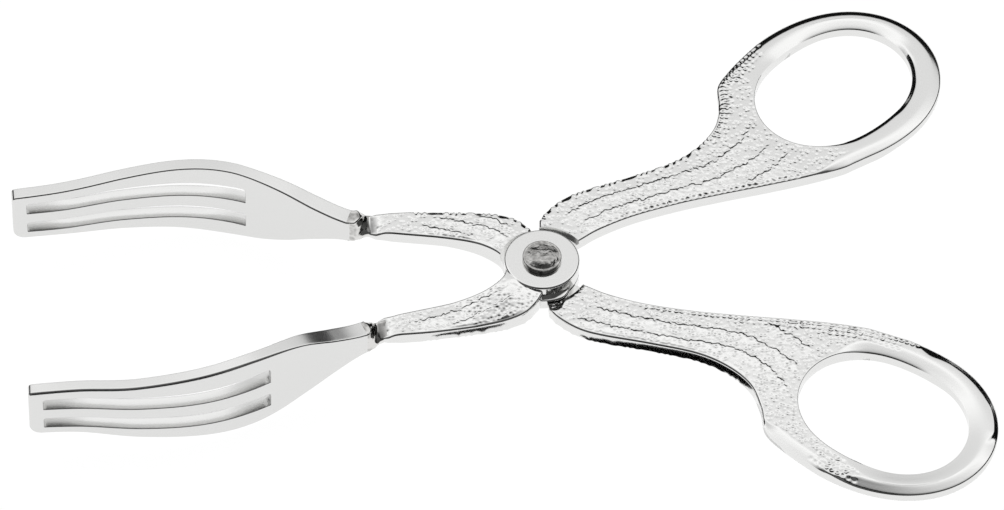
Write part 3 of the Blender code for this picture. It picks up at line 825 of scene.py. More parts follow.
# %% Carve the faces
RELIEF_SPACING = 0.2
LAYER_SEED = 3.0
DIMPLE_SEED = 11.0
RELIEF_ENDS = {1: (126, 144, 264, 276), -1: (108, 124, 272, 284)}
RELIEF_FULL_TO = 30
FADE_AT_EDGE = 0.45
RAMP_HEAD = Vector((-6.07, -4.57))
RAMP_SMOOTHING = 0.9
RAMP_SMOOTHED = 5.5
PUNCHED_FROM = 12.0
PUNCH_WALL = 0.2
PUNCH_FADE = 0.5


def relief_share(places, side):
    """1 on the shank and the arm, 0 on the polished part of the loop."""
    offset = places - np.array(LOOP_CENTRE)
    angle = np.degrees(np.arctan2(offset[:, 1], offset[:, 0])) % 360
    low_start, low_end, high_start, high_end = RELIEF_ENDS[side]
    share = smooth((angle - low_start) / (low_end - low_start))
    share = share * smooth((high_end - angle) / (high_end - high_start))
    return np.where(places[:, 0] < RELIEF_FULL_TO, 1.0, share)


def relief(grid, clearance, side):
    lines = TOP_LINES if side > 0 else UNDER_LINES
    height = layers(grid, lines, LAYER_SEED * side)
    height += dimples(grid, DIMPLE_SEED + side)
    height *= smooth(clearance / FADE_AT_EDGE) * relief_share(grid, side)
    if side > 0:
        from_head = np.linalg.norm(grid - np.array(RAMP_HEAD), axis=1)
        height *= 1 - RAMP_SMOOTHING * smooth(1 - from_head / RAMP_SMOOTHED)
    return height


def carve(mesh, side):
    marks = np.array([centre[:2] for centre, _ in (TOP_MARKS if side > 0 else UNDER_MARKS)])

    def wanted(places):
        share = relief_share(places, side)
        for mark in marks:
            share[np.abs(places - mark).max(axis=1) < 2 * PUNCH_RADIUS] += 1
        return share

    count = refill(mesh, side, HALF, RELIEF_SPACING, wanted,
                   lambda places, clearance: relief(places, clearance, side))
    print(f"face {side:+d}: {count} carved points")


def punch(mesh, side):
    """Sinks the punch marks into one face, and into its rolled edge as far as the wall."""
    struck = [vertex for vertex in mesh.verts
              if vertex.co.z * side > PUNCH_WALL and vertex.co.xy.length > PUNCHED_FROM]
    places = np.array([vertex.co.xy for vertex in struck])
    depth = punch_marks(places, TOP_MARKS if side > 0 else UNDER_MARKS)
    for vertex, sink in zip(struck, depth):
        vertex.co.z += side * sink * ease((vertex.co.z * side - PUNCH_WALL) / PUNCH_FADE)


carved = bmesh.new()
carved.from_mesh(casting.data)
bmesh.ops.remove_doubles(carved, verts=carved.verts, dist=WELD)
carved.normal_update()
for side in (1, -1):
    carve(carved, side)
    punch(carved, side)

# %% [markdown]
# Last come the large soft forms of the real casting: a ramp that carries the arm up to the boss, the
# rough hollow where the sprue was broken off, a chamfer at the handle's root, and the arm's end,
# which was hammered thin and twisted to meet the blade. Each moves the points that are there.

# %% Large soft forms
RAMP_LENGTH = 13.0
RAMP_STRAIGHTNESS = 0.75
ON_BOSS = 0.01
SOFT_FROM = 0.3
SPRUE_CENTRE = Vector((1.4, 9.5))
SPRUE_RADIUS = 2.2
SPRUE_DEPTH = 1.5
SPRUE_LUMPS = 0.4
SPRUE_LUMPS_PER_MM = 1.1
ROOT_CHAMFER = 0.85
ROOT_CHAMFER_DEPTH = 0.3
TONGUE_FROM = -28.8
TONGUE_THINNING = 0.42
TWIST_FROM = -30.4
TONGUE_TWIST = math.radians(20)
TONGUE_MIDDLE = -sum(arm_end_sides()) / 2
SLIVER = 2e-3


def raise_ramp(place):
    up = max(0, 1 - (place.xy - RAMP_HEAD).length / RAMP_LENGTH)
    rise = (BOSS_TOP - HALF) * (RAMP_STRAIGHTNESS * up + (1 - RAMP_STRAIGHTNESS) * ease(up))
    if place.xy.length < BOSS_RADIUS + ON_BOSS and place.z > HALF - ON_BOSS:
        place.z = max(place.z, HALF + rise)
    elif place.z > SOFT_FROM:
        place.z += rise * ease((place.z - SOFT_FROM) / (HALF - SOFT_FROM))


def break_off_sprue(place):
    hollow = max(0, 1 - (place.xy - SPRUE_CENTRE).length / SPRUE_RADIUS)
    if place.z < -SOFT_FROM and hollow:
        lumps = 1 + SPRUE_LUMPS * noise.noise(place * SPRUE_LUMPS_PER_MM)
        place.z += min(SPRUE_DEPTH * hollow * lumps, HALF - SOFT_FROM)


def chamfer_root(place):
    if place.y > 0 and place.z < SOFT_FROM - HALF:
        from_root = (place.xy.length - HANDLE_ROOT_RADIUS) / ROOT_CHAMFER
        place.z += ROOT_CHAMFER_DEPTH * max(0, 1 - from_root)


def tongue_share(x):
    """What is left of the arm's thickness where it is hammered thin at its end."""
    return 1 - TONGUE_THINNING * ease((TONGUE_FROM - x) / (TONGUE_FROM - ARM_END))


def tongue_twist(x):
    return TONGUE_TWIST * ease((TWIST_FROM - x) / (TWIST_FROM - ARM_END))


def hammer_tongue(place):
    place.z *= tongue_share(place.x)
    twist = tongue_twist(place.x)
    across = place.y - TONGUE_MIDDLE
    height = place.z
    place.y = TONGUE_MIDDLE + across * math.cos(twist) - height * math.sin(twist)
    place.z = height * math.cos(twist) + across * math.sin(twist)


for vertex in carved.verts:
    for shape in (raise_ramp, break_off_sprue, chamfer_root, hammer_tongue):
        shape(vertex.co)
bmesh.ops.remove_doubles(carved, verts=carved.verts, dist=SLIVER)
bmesh.ops.dissolve_degenerate(carved, edges=carved.edges, dist=SLIVER / 2)
carved.normal_update()
odd_edges = sum(not edge.is_manifold for edge in carved.edges)
carved.to_mesh(casting.data)
carved.free()
print("casting:", len(casting.data.polygons), "faces,", odd_edges, "edges not shared by two")

# %% [markdown]
# Colours are written as the sRGB hex values that a picture editor shows, and one function turns
# them into the linear values that Blender's shaders use. Another small function adds a node, sets
# it up and links it.

# %% Helpers for materials
def colour(code):
    channels = [int(code[index:index + 2], 16) / 255 for index in (1, 3, 5)]
    linear = [c / 12.92 if c <= 0.04045 else ((c + 0.055) / 1.055) ** 2.4 for c in channels]
    return (*linear, 1.0)


def add_node(tree, kind, settings=(), links=()):
    """Adds a node. Settings go to its sockets or, where it has none of that name, to the node."""
    node = tree.nodes.new(kind)
    for name, value in dict(settings).items():
        if name in node.inputs:
            node.inputs[name].default_value = value
        else:
            setattr(node, name, value)
    for name, source in dict(links).items():
        tree.links.new(source, node.inputs[name])
    return node


def new_metal(name, code, roughness):
    material = bpy.data.materials.new(name)
    material.use_nodes = True
    shader = material.node_tree.nodes["Principled BSDF"]
    shader.inputs["Base Color"].default_value = colour(code)
    shader.inputs["Metallic"].default_value = 1.0
    shader.inputs["Roughness"].default_value = roughness
    return material, material.node_tree, shader


print(f"the sRGB grey #808080 is {colour('#808080')[0]:.3f} in linear light")

# %% [markdown]
# **Silver plate on a cast blank.** Silver is the whitest metal, and a plated layer follows each
# pit of the casting below it, so it mirrors softly. Fine unevenness of about half a millimetre
# bends the reflections a little. The real plate's scratches are finer than a pixel here,
# so they are left to the roughness.

# %% Material: silver plate, cast and buffed
plate, tree, shader = new_metal("silver plate on a cast blank, buffed", "#E4E4E3", 0.11)
where = add_node(tree, "ShaderNodeTexCoord").outputs["Object"]
uneven = add_node(tree, "ShaderNodeTexNoise", {"Scale": 1 / (0.45 * MM), "Detail": 3.0}, {"Vector": where})
bump = add_node(tree, "ShaderNodeBump", {"Strength": 0.12, "Distance": 0.05 * MM},
                {"Height": uneven.outputs["Fac"]})
tree.links.new(bump.outputs["Normal"], shader.inputs["Normal"])
print(plate.name)

# %% [markdown]
# Both castings are one mesh, and the second is a copy that is turned over. Each piece goes into the
# body that it rides on, takes its material and hides the CAD node that it stands for.

# %% Place the castings
SHARP_FROM = math.radians(50)


def settle(item, material, body, node, matrix):
    """Puts a piece drawn in millimetres on the table, in its body, in place of its CAD node."""
    item.data.transform(Matrix.Scale(MM, 4))
    item.data.transform(matrix)
    item.data.materials.clear()
    item.data.materials.append(material)
    item.data.polygons.foreach_set("material_index", [0] * len(item.data.polygons))
    item.data.shade_smooth()
    item.data.set_sharp_from_angle(angle=SHARP_FROM)
    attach(item, body)
    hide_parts(node)


casting.name = "handle_a_carved"
casting_b = bpy.data.objects.new("handle_b_carved", casting.data.copy())
bpy.context.collection.objects.link(casting_b)
settle(casting, plate, "half_a", "handle_a", ON_TABLE)
settle(casting_b, plate, "half_b", "handle_b", ON_TABLE @ TURNED_OVER)
print("castings placed:", casting.name, "and", casting_b.name)

# %% [markdown]
# The blades are pressed from sheet: two long slots are pierced in the flat, and then the blank is
# formed to a double curve that runs outward and back. The same order is used here. First comes the
# blank's outline, with stations so close that it can bend smoothly.

# %% Outline of the blades
BLADE_TIP = -104.2
BLADE_NECK = ARM_END - 2.6
BLADE_TOP_EDGE = ((-32.0, 2.5), (-37.8, 2.6), (-43.4, 4.3), (-50.0, 6.9), (-57.0, 8.0), (-63.0, 8.0),
                  (-72.0, 6.8), (-85.0, 4.5), (-94.0, 3.6), (-104.2, 2.7), (-110.0, 2.2))
BLADE_BOTTOM_EDGE = ((-32.0, -3.0), (-37.8, -3.4), (-43.4, -5.6), (-49.5, -8.8), (-55.5, -11.2),
                     (-63.0, -12.1), (-74.0, -11.6), (-85.0, -10.9), (-95.0, -10.1), (-104.2, -10.1),
                     (-110.0, -10.1))
BLADE_TOP_CORNER = 0.8
BLADE_BOTTOM_CORNER = 2.4
BEND_STEP = 0.7
CORNER_STEPS = 8


def corner_cut(distance, radius):
    short = max(radius - distance, 0)
    return radius - math.sqrt(max(radius ** 2 - short ** 2, 0))


def end_stations(start, stop, radii):
    """X stations from start to stop, closer together in the rounded corners at both ends."""
    stations = set()
    for end, inward, radius in ((start, 1, radii[0]), (stop, -1, radii[1])):
        for step in range(CORNER_STEPS + 1):
            into_corner = radius * (1 - math.cos(math.pi / 2 * step / CORNER_STEPS))
            stations.add(round(end + inward * into_corner, 6))
    low = start + radii[0]
    high = stop - radii[1]
    count = round((high - low) / BEND_STEP)
    stations.update(low + (high - low) * step / count for step in range(1, count))
    return sorted(stations)


def blade_outline():
    top_edge = height_along(BLADE_TOP_EDGE)
    bottom_edge = height_along(BLADE_BOTTOM_EDGE)
    top = []
    bottom = []
    for x in end_stations(BLADE_TIP, BLADE_NECK, (BLADE_BOTTOM_CORNER, 0)):
        top.append(Vector((x, top_edge(x) - corner_cut(x - BLADE_TIP, BLADE_TOP_CORNER))))
        bottom.append(Vector((x, bottom_edge(x) + corner_cut(x - BLADE_TIP, BLADE_BOTTOM_CORNER))))
    return bottom + top[::-1]


print("blade's outline:", len(blade_outline()), "points")

# %% [markdown]
# The slots were pierced with a punch whose upper corners are round and whose lower ones are sharp.
# Forming pulled their walls out of square: the lower wall slopes up towards the back like a shelf,
# and the ends lean outward. Both slopes show as soft greys through the slots, so the walls are cut
# in steps that can follow them.

# %% Slots
SLOT_FRONT = BLADE_TIP + 2.9
SLOT_REAR = -56.8
SLOT_CORNER = 0.7
SLOT_FOOT_CORNER = 0.08
SLOT_STATIONS = (-110.0, -91.0, -74.0, -57.0, -50.0)
SLOTS = (((-1.2, -0.45, 0.45, 1.6, 2.05), (2.7, 3.4, 3.85, 4.2, 4.3)),
         ((-6.8, -6.6, -6.5, -6.05, -5.75), (2.7, 3.1, 3.6, 3.8, 3.8)))


def slot_edges(middles, heights):
    """The slot's upper and lower edge as functions of X."""
    middle = height_along(tuple(zip(SLOT_STATIONS, middles)))
    height = height_along(tuple(zip(SLOT_STATIONS, heights)))

    def from_end(x):
        return max(0, min(x - SLOT_FRONT, SLOT_REAR - x))

    return (lambda x: middle(x) + height(x) / 2 - corner_cut(from_end(x), SLOT_CORNER),
            lambda x: middle(x) - height(x) / 2 + corner_cut(from_end(x), SLOT_FOOT_CORNER))


SLOT_EDGES = [slot_edges(*slot) for slot in SLOTS]


def slot_loop(edges):
    stations = end_stations(SLOT_FRONT, SLOT_REAR, (SLOT_CORNER, SLOT_CORNER))
    top, bottom = ([Vector((x, edge(x))) for x in stations] for edge in edges)
    return top + bottom[::-1]


print(len(SLOT_EDGES), f"slots of {SLOT_REAR - SLOT_FRONT:.1f} mm")

# %% Slopes of the slots' walls
BLADE_THICKNESS = 2.6
SHELF_TILT_END = math.tan(math.radians(10))
SHELF_TILT_FRONT = math.tan(math.radians(8))
SHELF_TILT_REAR = math.tan(math.radians(3))
SHELF_END = 2.5
SHELF_END_LENGTH = 8.0
PAST_SLOT_END = 1.2
NEAR_SHELF = 0.25
END_LEAN = {-1: (-0.4, 1.0), 1: (-0.4, 0.0)}
END_LEAN_REACH = 2.5
LEANING_HEIGHTS = (-9.5, 5.1)
LEANING_FADE = 1.2


def shelf_rise(x, height, behind):
    """How far the slot's lower wall rises at a distance behind the face that the camera sees."""
    in_slot = min(max(x, SLOT_FRONT), SLOT_REAR)
    if abs(x - in_slot) > PAST_SLOT_END:
        return 0.0
    if min(abs(height - lower(in_slot)) for _, lower in SLOT_EDGES) > NEAR_SHELF:
        return 0.0
    middle = ease((min(in_slot - SLOT_FRONT, SLOT_REAR - in_slot) - SHELF_END) / SHELF_END_LENGTH)
    front = SHELF_TILT_END + (SHELF_TILT_FRONT - SHELF_TILT_END) * middle
    rear = SHELF_TILT_END + (SHELF_TILT_REAR - SHELF_TILT_END) * middle
    return front * behind + (rear - front) * behind ** 2 / (2 * BLADE_THICKNESS)


def end_lean(x, height, behind, side):
    """How far the slots' ends lean outward at a distance behind the face that the camera sees."""
    low, high = LEANING_HEIGHTS
    slide = sum(tilt * max(0, 1 - abs(x - end) / END_LEAN_REACH)
                for tilt, end in zip(END_LEAN[side], (SLOT_FRONT, SLOT_REAR)))
    return slide * behind / BLADE_THICKNESS * ease(min(high - height, height - low) / LEANING_FADE)


rise = shelf_rise(SLOT_FRONT, SLOT_EDGES[0][1](SLOT_FRONT), BLADE_THICKNESS)
print(f"at its ends a shelf rises {rise:.2f} mm")

# %% [markdown]
# Forming bends each station of the blank square to the plan curve, as a press does, so the blade
# keeps its thickness in the bend. It is thicker where it meets the neck. The outer face's upper
# edge is rounder along the slots, where the polisher's wheel met it.

# %% Form the blades
BLADE_NECK_THICKNESS = 3.5
BLADE_TAPER = (-58.0, -42.0)
BLADE_EDGE_RADIUS = 0.3
BLADE_WORN_RADIUS = 0.62
BLADE_WORN_FROM = -48.0
BLADE_WORN_FADE = 10
BLADE_SLOPE_SPAN = 0.5
SLOT_EDGE_RADIUS = 0.15
REAR_EDGE_RADIUS = 0.12
BLADE_SET_BACK = {-1: 0.3, 1: -0.6}
BLADE_PLAN = ((-32.0, 12.6), (-36.0, 13.8), (-49.0, 19.1), (-60.0, 24.0), (-70.0, 26.3), (-82.0, 26.4),
              (-94.0, 25.0), (-104.2, 24.6), (-110.0, 24.6))
WALL_STEPS = 8
plan = height_along(BLADE_PLAN)


def blade_thickness(x):
    swell = ease((x - BLADE_TAPER[0]) / (BLADE_TAPER[1] - BLADE_TAPER[0]))
    return BLADE_THICKNESS + (BLADE_NECK_THICKNESS - BLADE_THICKNESS) * swell


def blade_normal(x):
    rise = plan(x + BLADE_SLOPE_SPAN) - plan(x - BLADE_SLOPE_SPAN)
    return Vector((-rise, 2 * BLADE_SLOPE_SPAN)).normalized()


def worn_radius(point, side):
    if point.y < 0 or side > 0:
        return BLADE_EDGE_RADIUS
    share = ease((BLADE_WORN_FROM - point.x) / BLADE_WORN_FADE)
    return BLADE_EDGE_RADIUS + (BLADE_WORN_RADIUS - BLADE_EDGE_RADIUS) * share


def blade(name, side):
    """The pierced flat blank, formed to the plan curve on one side of the middle."""
    loops = [blade_outline(), *(slot_loop(edges) for edges in SLOT_EDGES)]
    front = [[crisp_rings(SLOT_EDGE_RADIUS)] * len(loop) for loop in loops]
    front[0] = [crisp_rings(worn_radius(point, side)) for point in loops[0]]
    rear = [[crisp_rings(REAR_EDGE_RADIUS)] * len(loop) for loop in loops]
    outer, inner = (front, rear) if side < 0 else (rear, front)
    mesh = rounded_plate(loops, BLADE_THICKNESS / 2, outer, inner, WALL_STEPS)
    for face in (1, -1):
        refill(mesh, face, BLADE_THICKNESS / 2, BEND_STEP, lambda places: places[:, 0] < 0,
               lambda places, clearance: clearance * 0)
    for vertex in mesh.verts:
        x, z, across = vertex.co
        behind = BLADE_THICKNESS / 2 + side * across
        z += shelf_rise(x, z, behind)
        x += end_lean(x, z, behind, side)
        across *= blade_thickness(x) / BLADE_THICKNESS
        normal = blade_normal(x)
        vertex.co = (x + across * normal.x + BLADE_SET_BACK[side], side * (plan(x) + across * normal.y), z)
    if side > 0:
        bmesh.ops.reverse_faces(mesh, faces=mesh.faces)
    return piece(name, mesh)


blades = {letter: blade(f"blade_{letter}_formed", side) for letter, side in (("a", -1), ("b", 1))}
print("blades formed:", [len(item.data.polygons) for item in blades.values()], "faces")

# %% [markdown]
# **Silver plate on pressed sheet.** The sheet is rolled smooth, so the plate has no pits to follow
# and is polished all over. What the eye sees is a soft, almost even grey, with broad waves of a few
# millimetres that the forming left.

# %% Material: silver plate, pressed and polished
polished, tree, shader = new_metal("silver plate on pressed sheet, polished", "#DFDFDE", 0.18)
where = add_node(tree, "ShaderNodeTexCoord").outputs["Object"]
uneven = add_node(tree, "ShaderNodeTexNoise", {"Scale": 1 / (6 * MM), "Detail": 2.0}, {"Vector": where})
bump = add_node(tree, "ShaderNodeBump", {"Strength": 0.1, "Distance": 0.2 * MM},
                {"Height": uneven.outputs["Fac"]})
tree.links.new(bump.outputs["Normal"], shader.inputs["Normal"])

for letter, item in blades.items():
    settle(item, polished, f"half_{letter}", f"blade_{letter}", ON_TABLE)
print(polished.name)

# %% [markdown]
# Brazing filler runs into the joint, wets both sides and freezes in an uneven collar. The neck is a
# loft from the arm's end, which is wide and flat, to the blade's end, which stands upright, so its
# section turns by a quarter on the way. It is close to a rounded square, swells a little in the
# middle, and noise makes it lumpy.

# %% Necks
NECK_START = ARM_END + 1.5
NECK_STOP = BLADE_NECK - 0.8
NECK_BULGE = 0.13
NECK_BULGE_POWER = 1.3
NECK_SQUARENESS = (0.14, 0.5)
NECK_SIDES = 72
NECK_RINGS = 30
NECK_LUMPS = 0.22
NECK_LUMPS_PER_MM = 0.7
NECK_FINE_LUMPS = NECK_LUMPS / 4
NECK_FINE_LUMPS_PER_MM = 1.9


def rounded_square(angle, power, size):
    """A point on an oval that is nearer to a rectangle, the smaller the power is."""
    return [math.copysign(abs(part) ** power, part) * half
            for part, half in ((math.cos(angle), size.x), (math.sin(angle), size.y))]


def neck(name, side):
    outer, inner = arm_end_sides()
    top = height_along(BLADE_TOP_EDGE)(NECK_STOP)
    bottom = height_along(BLADE_BOTTOM_EDGE)(NECK_STOP)
    square = blade_normal(BLADE_NECK)
    start = Vector((NECK_START, (outer + inner) / 2, 0))
    stop = Vector((NECK_STOP + BLADE_SET_BACK[side], plan(NECK_STOP), (top + bottom) / 2))
    stop_size = Vector(((top - bottom) / 2, blade_thickness(BLADE_NECK) / 2))
    rings = []
    for ring_index in range(NECK_RINGS + 1):
        t = ring_index / NECK_RINGS
        centre = start.lerp(stop, t)
        reached = min(max((ARM_END - centre.x) / (ARM_END - BLADE_NECK), 0), 1)
        start_size = Vector(((outer - inner) / 2, HALF * tongue_share(centre.x)))
        bulge = NECK_BULGE * math.sin(math.pi * t) ** NECK_BULGE_POWER
        size = start_size.lerp(stop_size, ease(reached)) + Vector((bulge, bulge))
        twist = tongue_twist(centre.x) + (math.pi / 2 - TONGUE_TWIST) * ease(reached)
        power = NECK_SQUARENESS[0] + NECK_SQUARENESS[1] * math.sin(math.pi * reached)
        across = Vector((0, 1)).lerp(square, t).normalized()
        middle = Vector((centre.x, side * centre.y, centre.z))
        ring = []
        for step in range(NECK_SIDES):
            wide, tall = rounded_square(2 * math.pi * step / NECK_SIDES, power, size)
            level = side * (wide * math.cos(twist) - tall * math.sin(twist))
            place = Vector((centre.x + level * across.x, side * (centre.y + level * across.y),
                            centre.z + wide * math.sin(twist) + tall * math.cos(twist)))
            lump = (NECK_LUMPS * noise.noise(place * NECK_LUMPS_PER_MM)
                    + NECK_FINE_LUMPS * noise.noise(place * NECK_FINE_LUMPS_PER_MM))
            ring.append(place + (place - middle).normalized() * lump * math.sin(math.pi * reached))
        rings.append(ring)
    return piece(name, loft(rings))


necks = {letter: neck(f"neck_{letter}_brazed", side) for letter, side in (("a", -1), ("b", 1))}
print(f"necks {NECK_START - NECK_STOP:.1f} mm long")

# %% [markdown]
# **Brazing filler under thin plate.** The filler is an alloy of silver that was left as it froze. It
# darkens with heat and the plate over it is thin, so it shows dark stains a few millimetres wide
# between bright, wet-looking patches.

# %% Material: brazing filler under thin plate
filler, tree, shader = new_metal("brazing filler under thin silver plate", "#D8D7D5", 0.13)
where = add_node(tree, "ShaderNodeTexCoord").outputs["Object"]
stain = add_node(tree, "ShaderNodeTexNoise", {"Scale": 1 / (2.4 * MM), "Detail": 2.0}, {"Vector": where})
ramp = add_node(tree, "ShaderNodeValToRGB", {}, {"Fac": stain.outputs["Fac"]})
for element, place, code in zip(ramp.color_ramp.elements, (0.3, 0.5), ("#8C8B89", "#DDDCDA")):
    element.position = place
    element.color = colour(code)
tree.links.new(ramp.outputs["Color"], shader.inputs["Base Color"])
bump = add_node(tree, "ShaderNodeBump", {"Strength": 0.2, "Distance": 0.1 * MM},
                {"Height": stain.outputs["Fac"]})
tree.links.new(bump.outputs["Normal"], shader.inputs["Normal"])

for letter, item in necks.items():
    settle(item, filler, f"half_{letter}", f"neck_{letter}", ON_TABLE)
print(filler.name)

# %% [markdown]
# The rivet's head was set with a round punch and has been knocked and rubbed since. Its crown is a
# shallow dome inside a low ring, higher towards the front, and it has small dents. A turned profile
# gives the dome and noise gives the dents.

# %% Rivet
RIVET_HEAD_RADIUS = 3.9
RIVET_HEAD_HEIGHT = 0.75
RIVET_CROWN = ((3.62, 0.02), (3.5, 0.0), (3.38, -0.02), (3.3, 0.01), (3.1, 0.08), (2.7, 0.22), (2.3, 0.34),
               (1.8, 0.44), (1.2, 0.5), (0.6, 0.53), (0.05, 0.54))
RIVET_TAIL_CROWN = ((3.3, 0.01), (0.05, 0.1))
RIVET_HEAD_BEVEL = 0.2
CROWN_SKEW = 0.95
RIVET_TAIL_RADIUS = 3.6
RIVET_TAIL_HEIGHT = 1.0
DENT_DEPTH = 0.05
DENTS_PER_MM = 1.1
FINE_DENT_SHARE = 0.6
FINE_DENTS_PER_MM = 2.6
CROWN_EDGE = 0.4
CROWN_STEPS = 6
DENT_FADE = 0.6


def closed_end(radius, seat, top, crown):
    """Profile of a rivet head from its seat to near its middle."""
    domed = [(place.x, top + place.y) for place in smooth_through(crown, CROWN_STEPS)]
    return [(radius, seat), *rolled_edge(radius, top, RIVET_HEAD_BEVEL), *domed]


def rivet():
    seat = BOSS_TOP + CLEARANCE / 3
    top = BOSS_TOP + CLEARANCE + RIVET_HEAD_HEIGHT
    tail = BOSS_TOP + CLEARANCE + RIVET_TAIL_HEIGHT
    tail_end = closed_end(RIVET_TAIL_RADIUS, seat, tail, RIVET_TAIL_CROWN)
    lower = [(radius, -height) for radius, height in tail_end[::-1]]
    upper = closed_end(RIVET_HEAD_RADIUS, seat, top, RIVET_CROWN)
    mesh = turned([*lower, (RIVET_SHANK_RADIUS, -seat), (RIVET_SHANK_RADIUS, seat), *upper])
    for vertex in mesh.verts:
        inward = RIVET_HEAD_RADIUS - vertex.co.xy.length
        if vertex.co.z > top and inward > CROWN_EDGE:
            vertex.co.z = top + (vertex.co.z - top) * (1 - CROWN_SKEW * vertex.co.y / RIVET_HEAD_RADIUS)
        if vertex.co.z > top - RIVET_HEAD_BEVEL:
            dents = (noise.noise(vertex.co * DENTS_PER_MM)
                     + FINE_DENT_SHARE * noise.noise(vertex.co * FINE_DENTS_PER_MM))
            vertex.co.z += DENT_DEPTH * ease(inward / DENT_FADE) * dents
    return piece("rivet_worn", mesh)


rivet_worn = rivet()
print("rivet:", len(rivet_worn.data.polygons), "faces")

# %% [markdown]
# **Mild steel.** The rivet isn't plated. Its bare steel has been hammered and has tarnished, which
# gives a grey that is mottled in patches of about a millimetre, darker than all round it.

# %% Material: mild steel, hammered and worn
steel, tree, shader = new_metal("mild steel rivet, hammered and worn", "#AEADAB", 0.18)
where = add_node(tree, "ShaderNodeTexCoord").outputs["Object"]
wear = add_node(tree, "ShaderNodeTexNoise", {"Scale": 1 / (1.1 * MM), "Detail": 5.0, "Roughness": 0.6},
                {"Vector": where})
ramp = add_node(tree, "ShaderNodeValToRGB", {}, {"Fac": wear.outputs["Fac"]})
for element, place, code in zip(ramp.color_ramp.elements, (0.3, 0.7), ("#858482", "#D6D5D3")):
    element.position = place
    element.color = colour(code)
tree.links.new(ramp.outputs["Color"], shader.inputs["Base Color"])
bump = add_node(tree, "ShaderNodeBump", {"Strength": 0.5, "Distance": 0.08 * MM},
                {"Height": wear.outputs["Fac"]})
tree.links.new(bump.outputs["Normal"], shader.inputs["Normal"])
settle(rivet_worn, steel, "half_a", "rivet", ON_TABLE)
print(steel.name)

# %% [markdown]
# The tongs lie on a back-lit white table, as small polished things are often photographed. It glows
# evenly, so no shadow falls on it, and walls that face down towards it mirror it as white. Beyond
# its edge the camera sees white paper, which the metal doesn't mirror: the room is dark, and that
# darkness draws the black outlines wherever an edge rolls over.

# %% Table and backdrop
def matt(name, code, glow):
    """A dull surface of one colour that may also glow white."""
    material = bpy.data.materials.new(name)
    material.use_nodes = True
    shader = material.node_tree.nodes["Principled BSDF"]
    shader.inputs["Base Color"].default_value = colour(code)
    shader.inputs["Roughness"].default_value = 0.9
    shader.inputs["Specular IOR Level"].default_value = 0.0
    shader.inputs["Emission Color"].default_value = (1, 1, 1, 1)
    shader.inputs["Emission Strength"].default_value = glow
    return material


def hide_from(item, *rays):
    for ray in rays:
        setattr(item, f"visible_{ray}", False)


TABLE_SIZE = 12.0
TABLE_DROP = 0.0002
BACKDROP_RADIUS = 7.0

table_mesh = bmesh.new()
bmesh.ops.create_grid(table_mesh, x_segments=1, y_segments=1, size=TABLE_SIZE / 2)
table = piece("table_top", table_mesh)
table.location.z = -TABLE_DROP
table.data.materials.append(matt("opal acrylic, back-lit", "#5A5A5A", 0.98))
backdrop_mesh = bmesh.new()
bmesh.ops.create_uvsphere(backdrop_mesh, u_segments=48, v_segments=24, radius=BACKDROP_RADIUS)
backdrop = piece("backdrop", backdrop_mesh)
backdrop.data.materials.append(matt("white paper backdrop", "#000000", 1.0))
hide_from(backdrop, "glossy", "diffuse", "shadow")
print(f"table {TABLE_SIZE} m wide")

# %% [markdown]
# The near shank and the near arm have a thin black line low in their walls. It is painted shade: the
# walls mirror the table right in front of them, where the tongs would shade it, but the glowing table
# has no shade. So black strips of card lie there on the table as painted shadow. The metal mirrors
# them, and the camera doesn't see them.

# %% Painted shade: black strips on the table
SHADE_STRIP_LIFT = 0.00005
SHADE_STRIP_STEP = 1.0


def near_side(curve):
    """The same curve on the near half of the tongs, as points a millimetre apart."""
    return [Vector((point.x, -point.y)) for point in evenly(curve, SHADE_STRIP_STEP)]


def painted_shade_strip(name, curve, near, far):
    """Painted shade: a black strip on the table, from a near to a far distance in front of a curve."""
    mesh = bmesh.new()
    edges = []
    for index, (point, along) in enumerate(zip(curve, np.linspace(0, 1, len(curve)))):
        tangent = (curve[min(index + 1, len(curve) - 1)] - curve[max(index - 1, 0)]).normalized()
        outward = Vector((tangent.y, -tangent.x))
        half_width = (far - near) / 2 * math.sin(math.pi * along) ** 0.5
        pair = []
        for away in ((near + far) / 2 - half_width, (near + far) / 2 + half_width):
            on_table = ON_TABLE @ Vector((*((point + outward * away) * MM), 0))
            pair.append(mesh.verts.new((*on_table.xy, SHADE_STRIP_LIFT)))
        edges.append(pair)
    for first, second in zip(edges, edges[1:]):
        mesh.faces.new((first[0], first[1], second[1], second[0]))
    bmesh.ops.remove_doubles(mesh, verts=mesh.verts, dist=1e-6)
    card = piece(name, mesh)
    # Near black: painted shade, seen only in the metal's reflections.
    card.data.materials.append(matt("painted shade, black", "#050505", 0.0))
    hide_from(card, "camera", "diffuse", "shadow")


# Each strip is painted shadow, where the tongs would shade the table in front of a wall.
# The points are a millimetre apart, so each strip's ends are given in millimetres along the edge.
painted_shade_strip("painted_shade_for_shank", near_side(OUTER_EDGE)[6:-22], 1.6, 6.2)
painted_shade_strip("painted_shade_for_arm", near_side(smooth_through(ARM_OUTER_EDGE, CURVE_STEPS))[::-1][17:34], 5.4, 8.0)
print("two strips of card in front of the near half")

# %% [markdown]
# One wide softbox hangs over the far side, brightest across its middle. Level faces mirror it as a
# light grey, and each face's tilt picks another part of the gradient. Three faint boxes behind the
# camera stand for the rest of the studio: they keep the faces that are seen from the other side
# from being plain black.

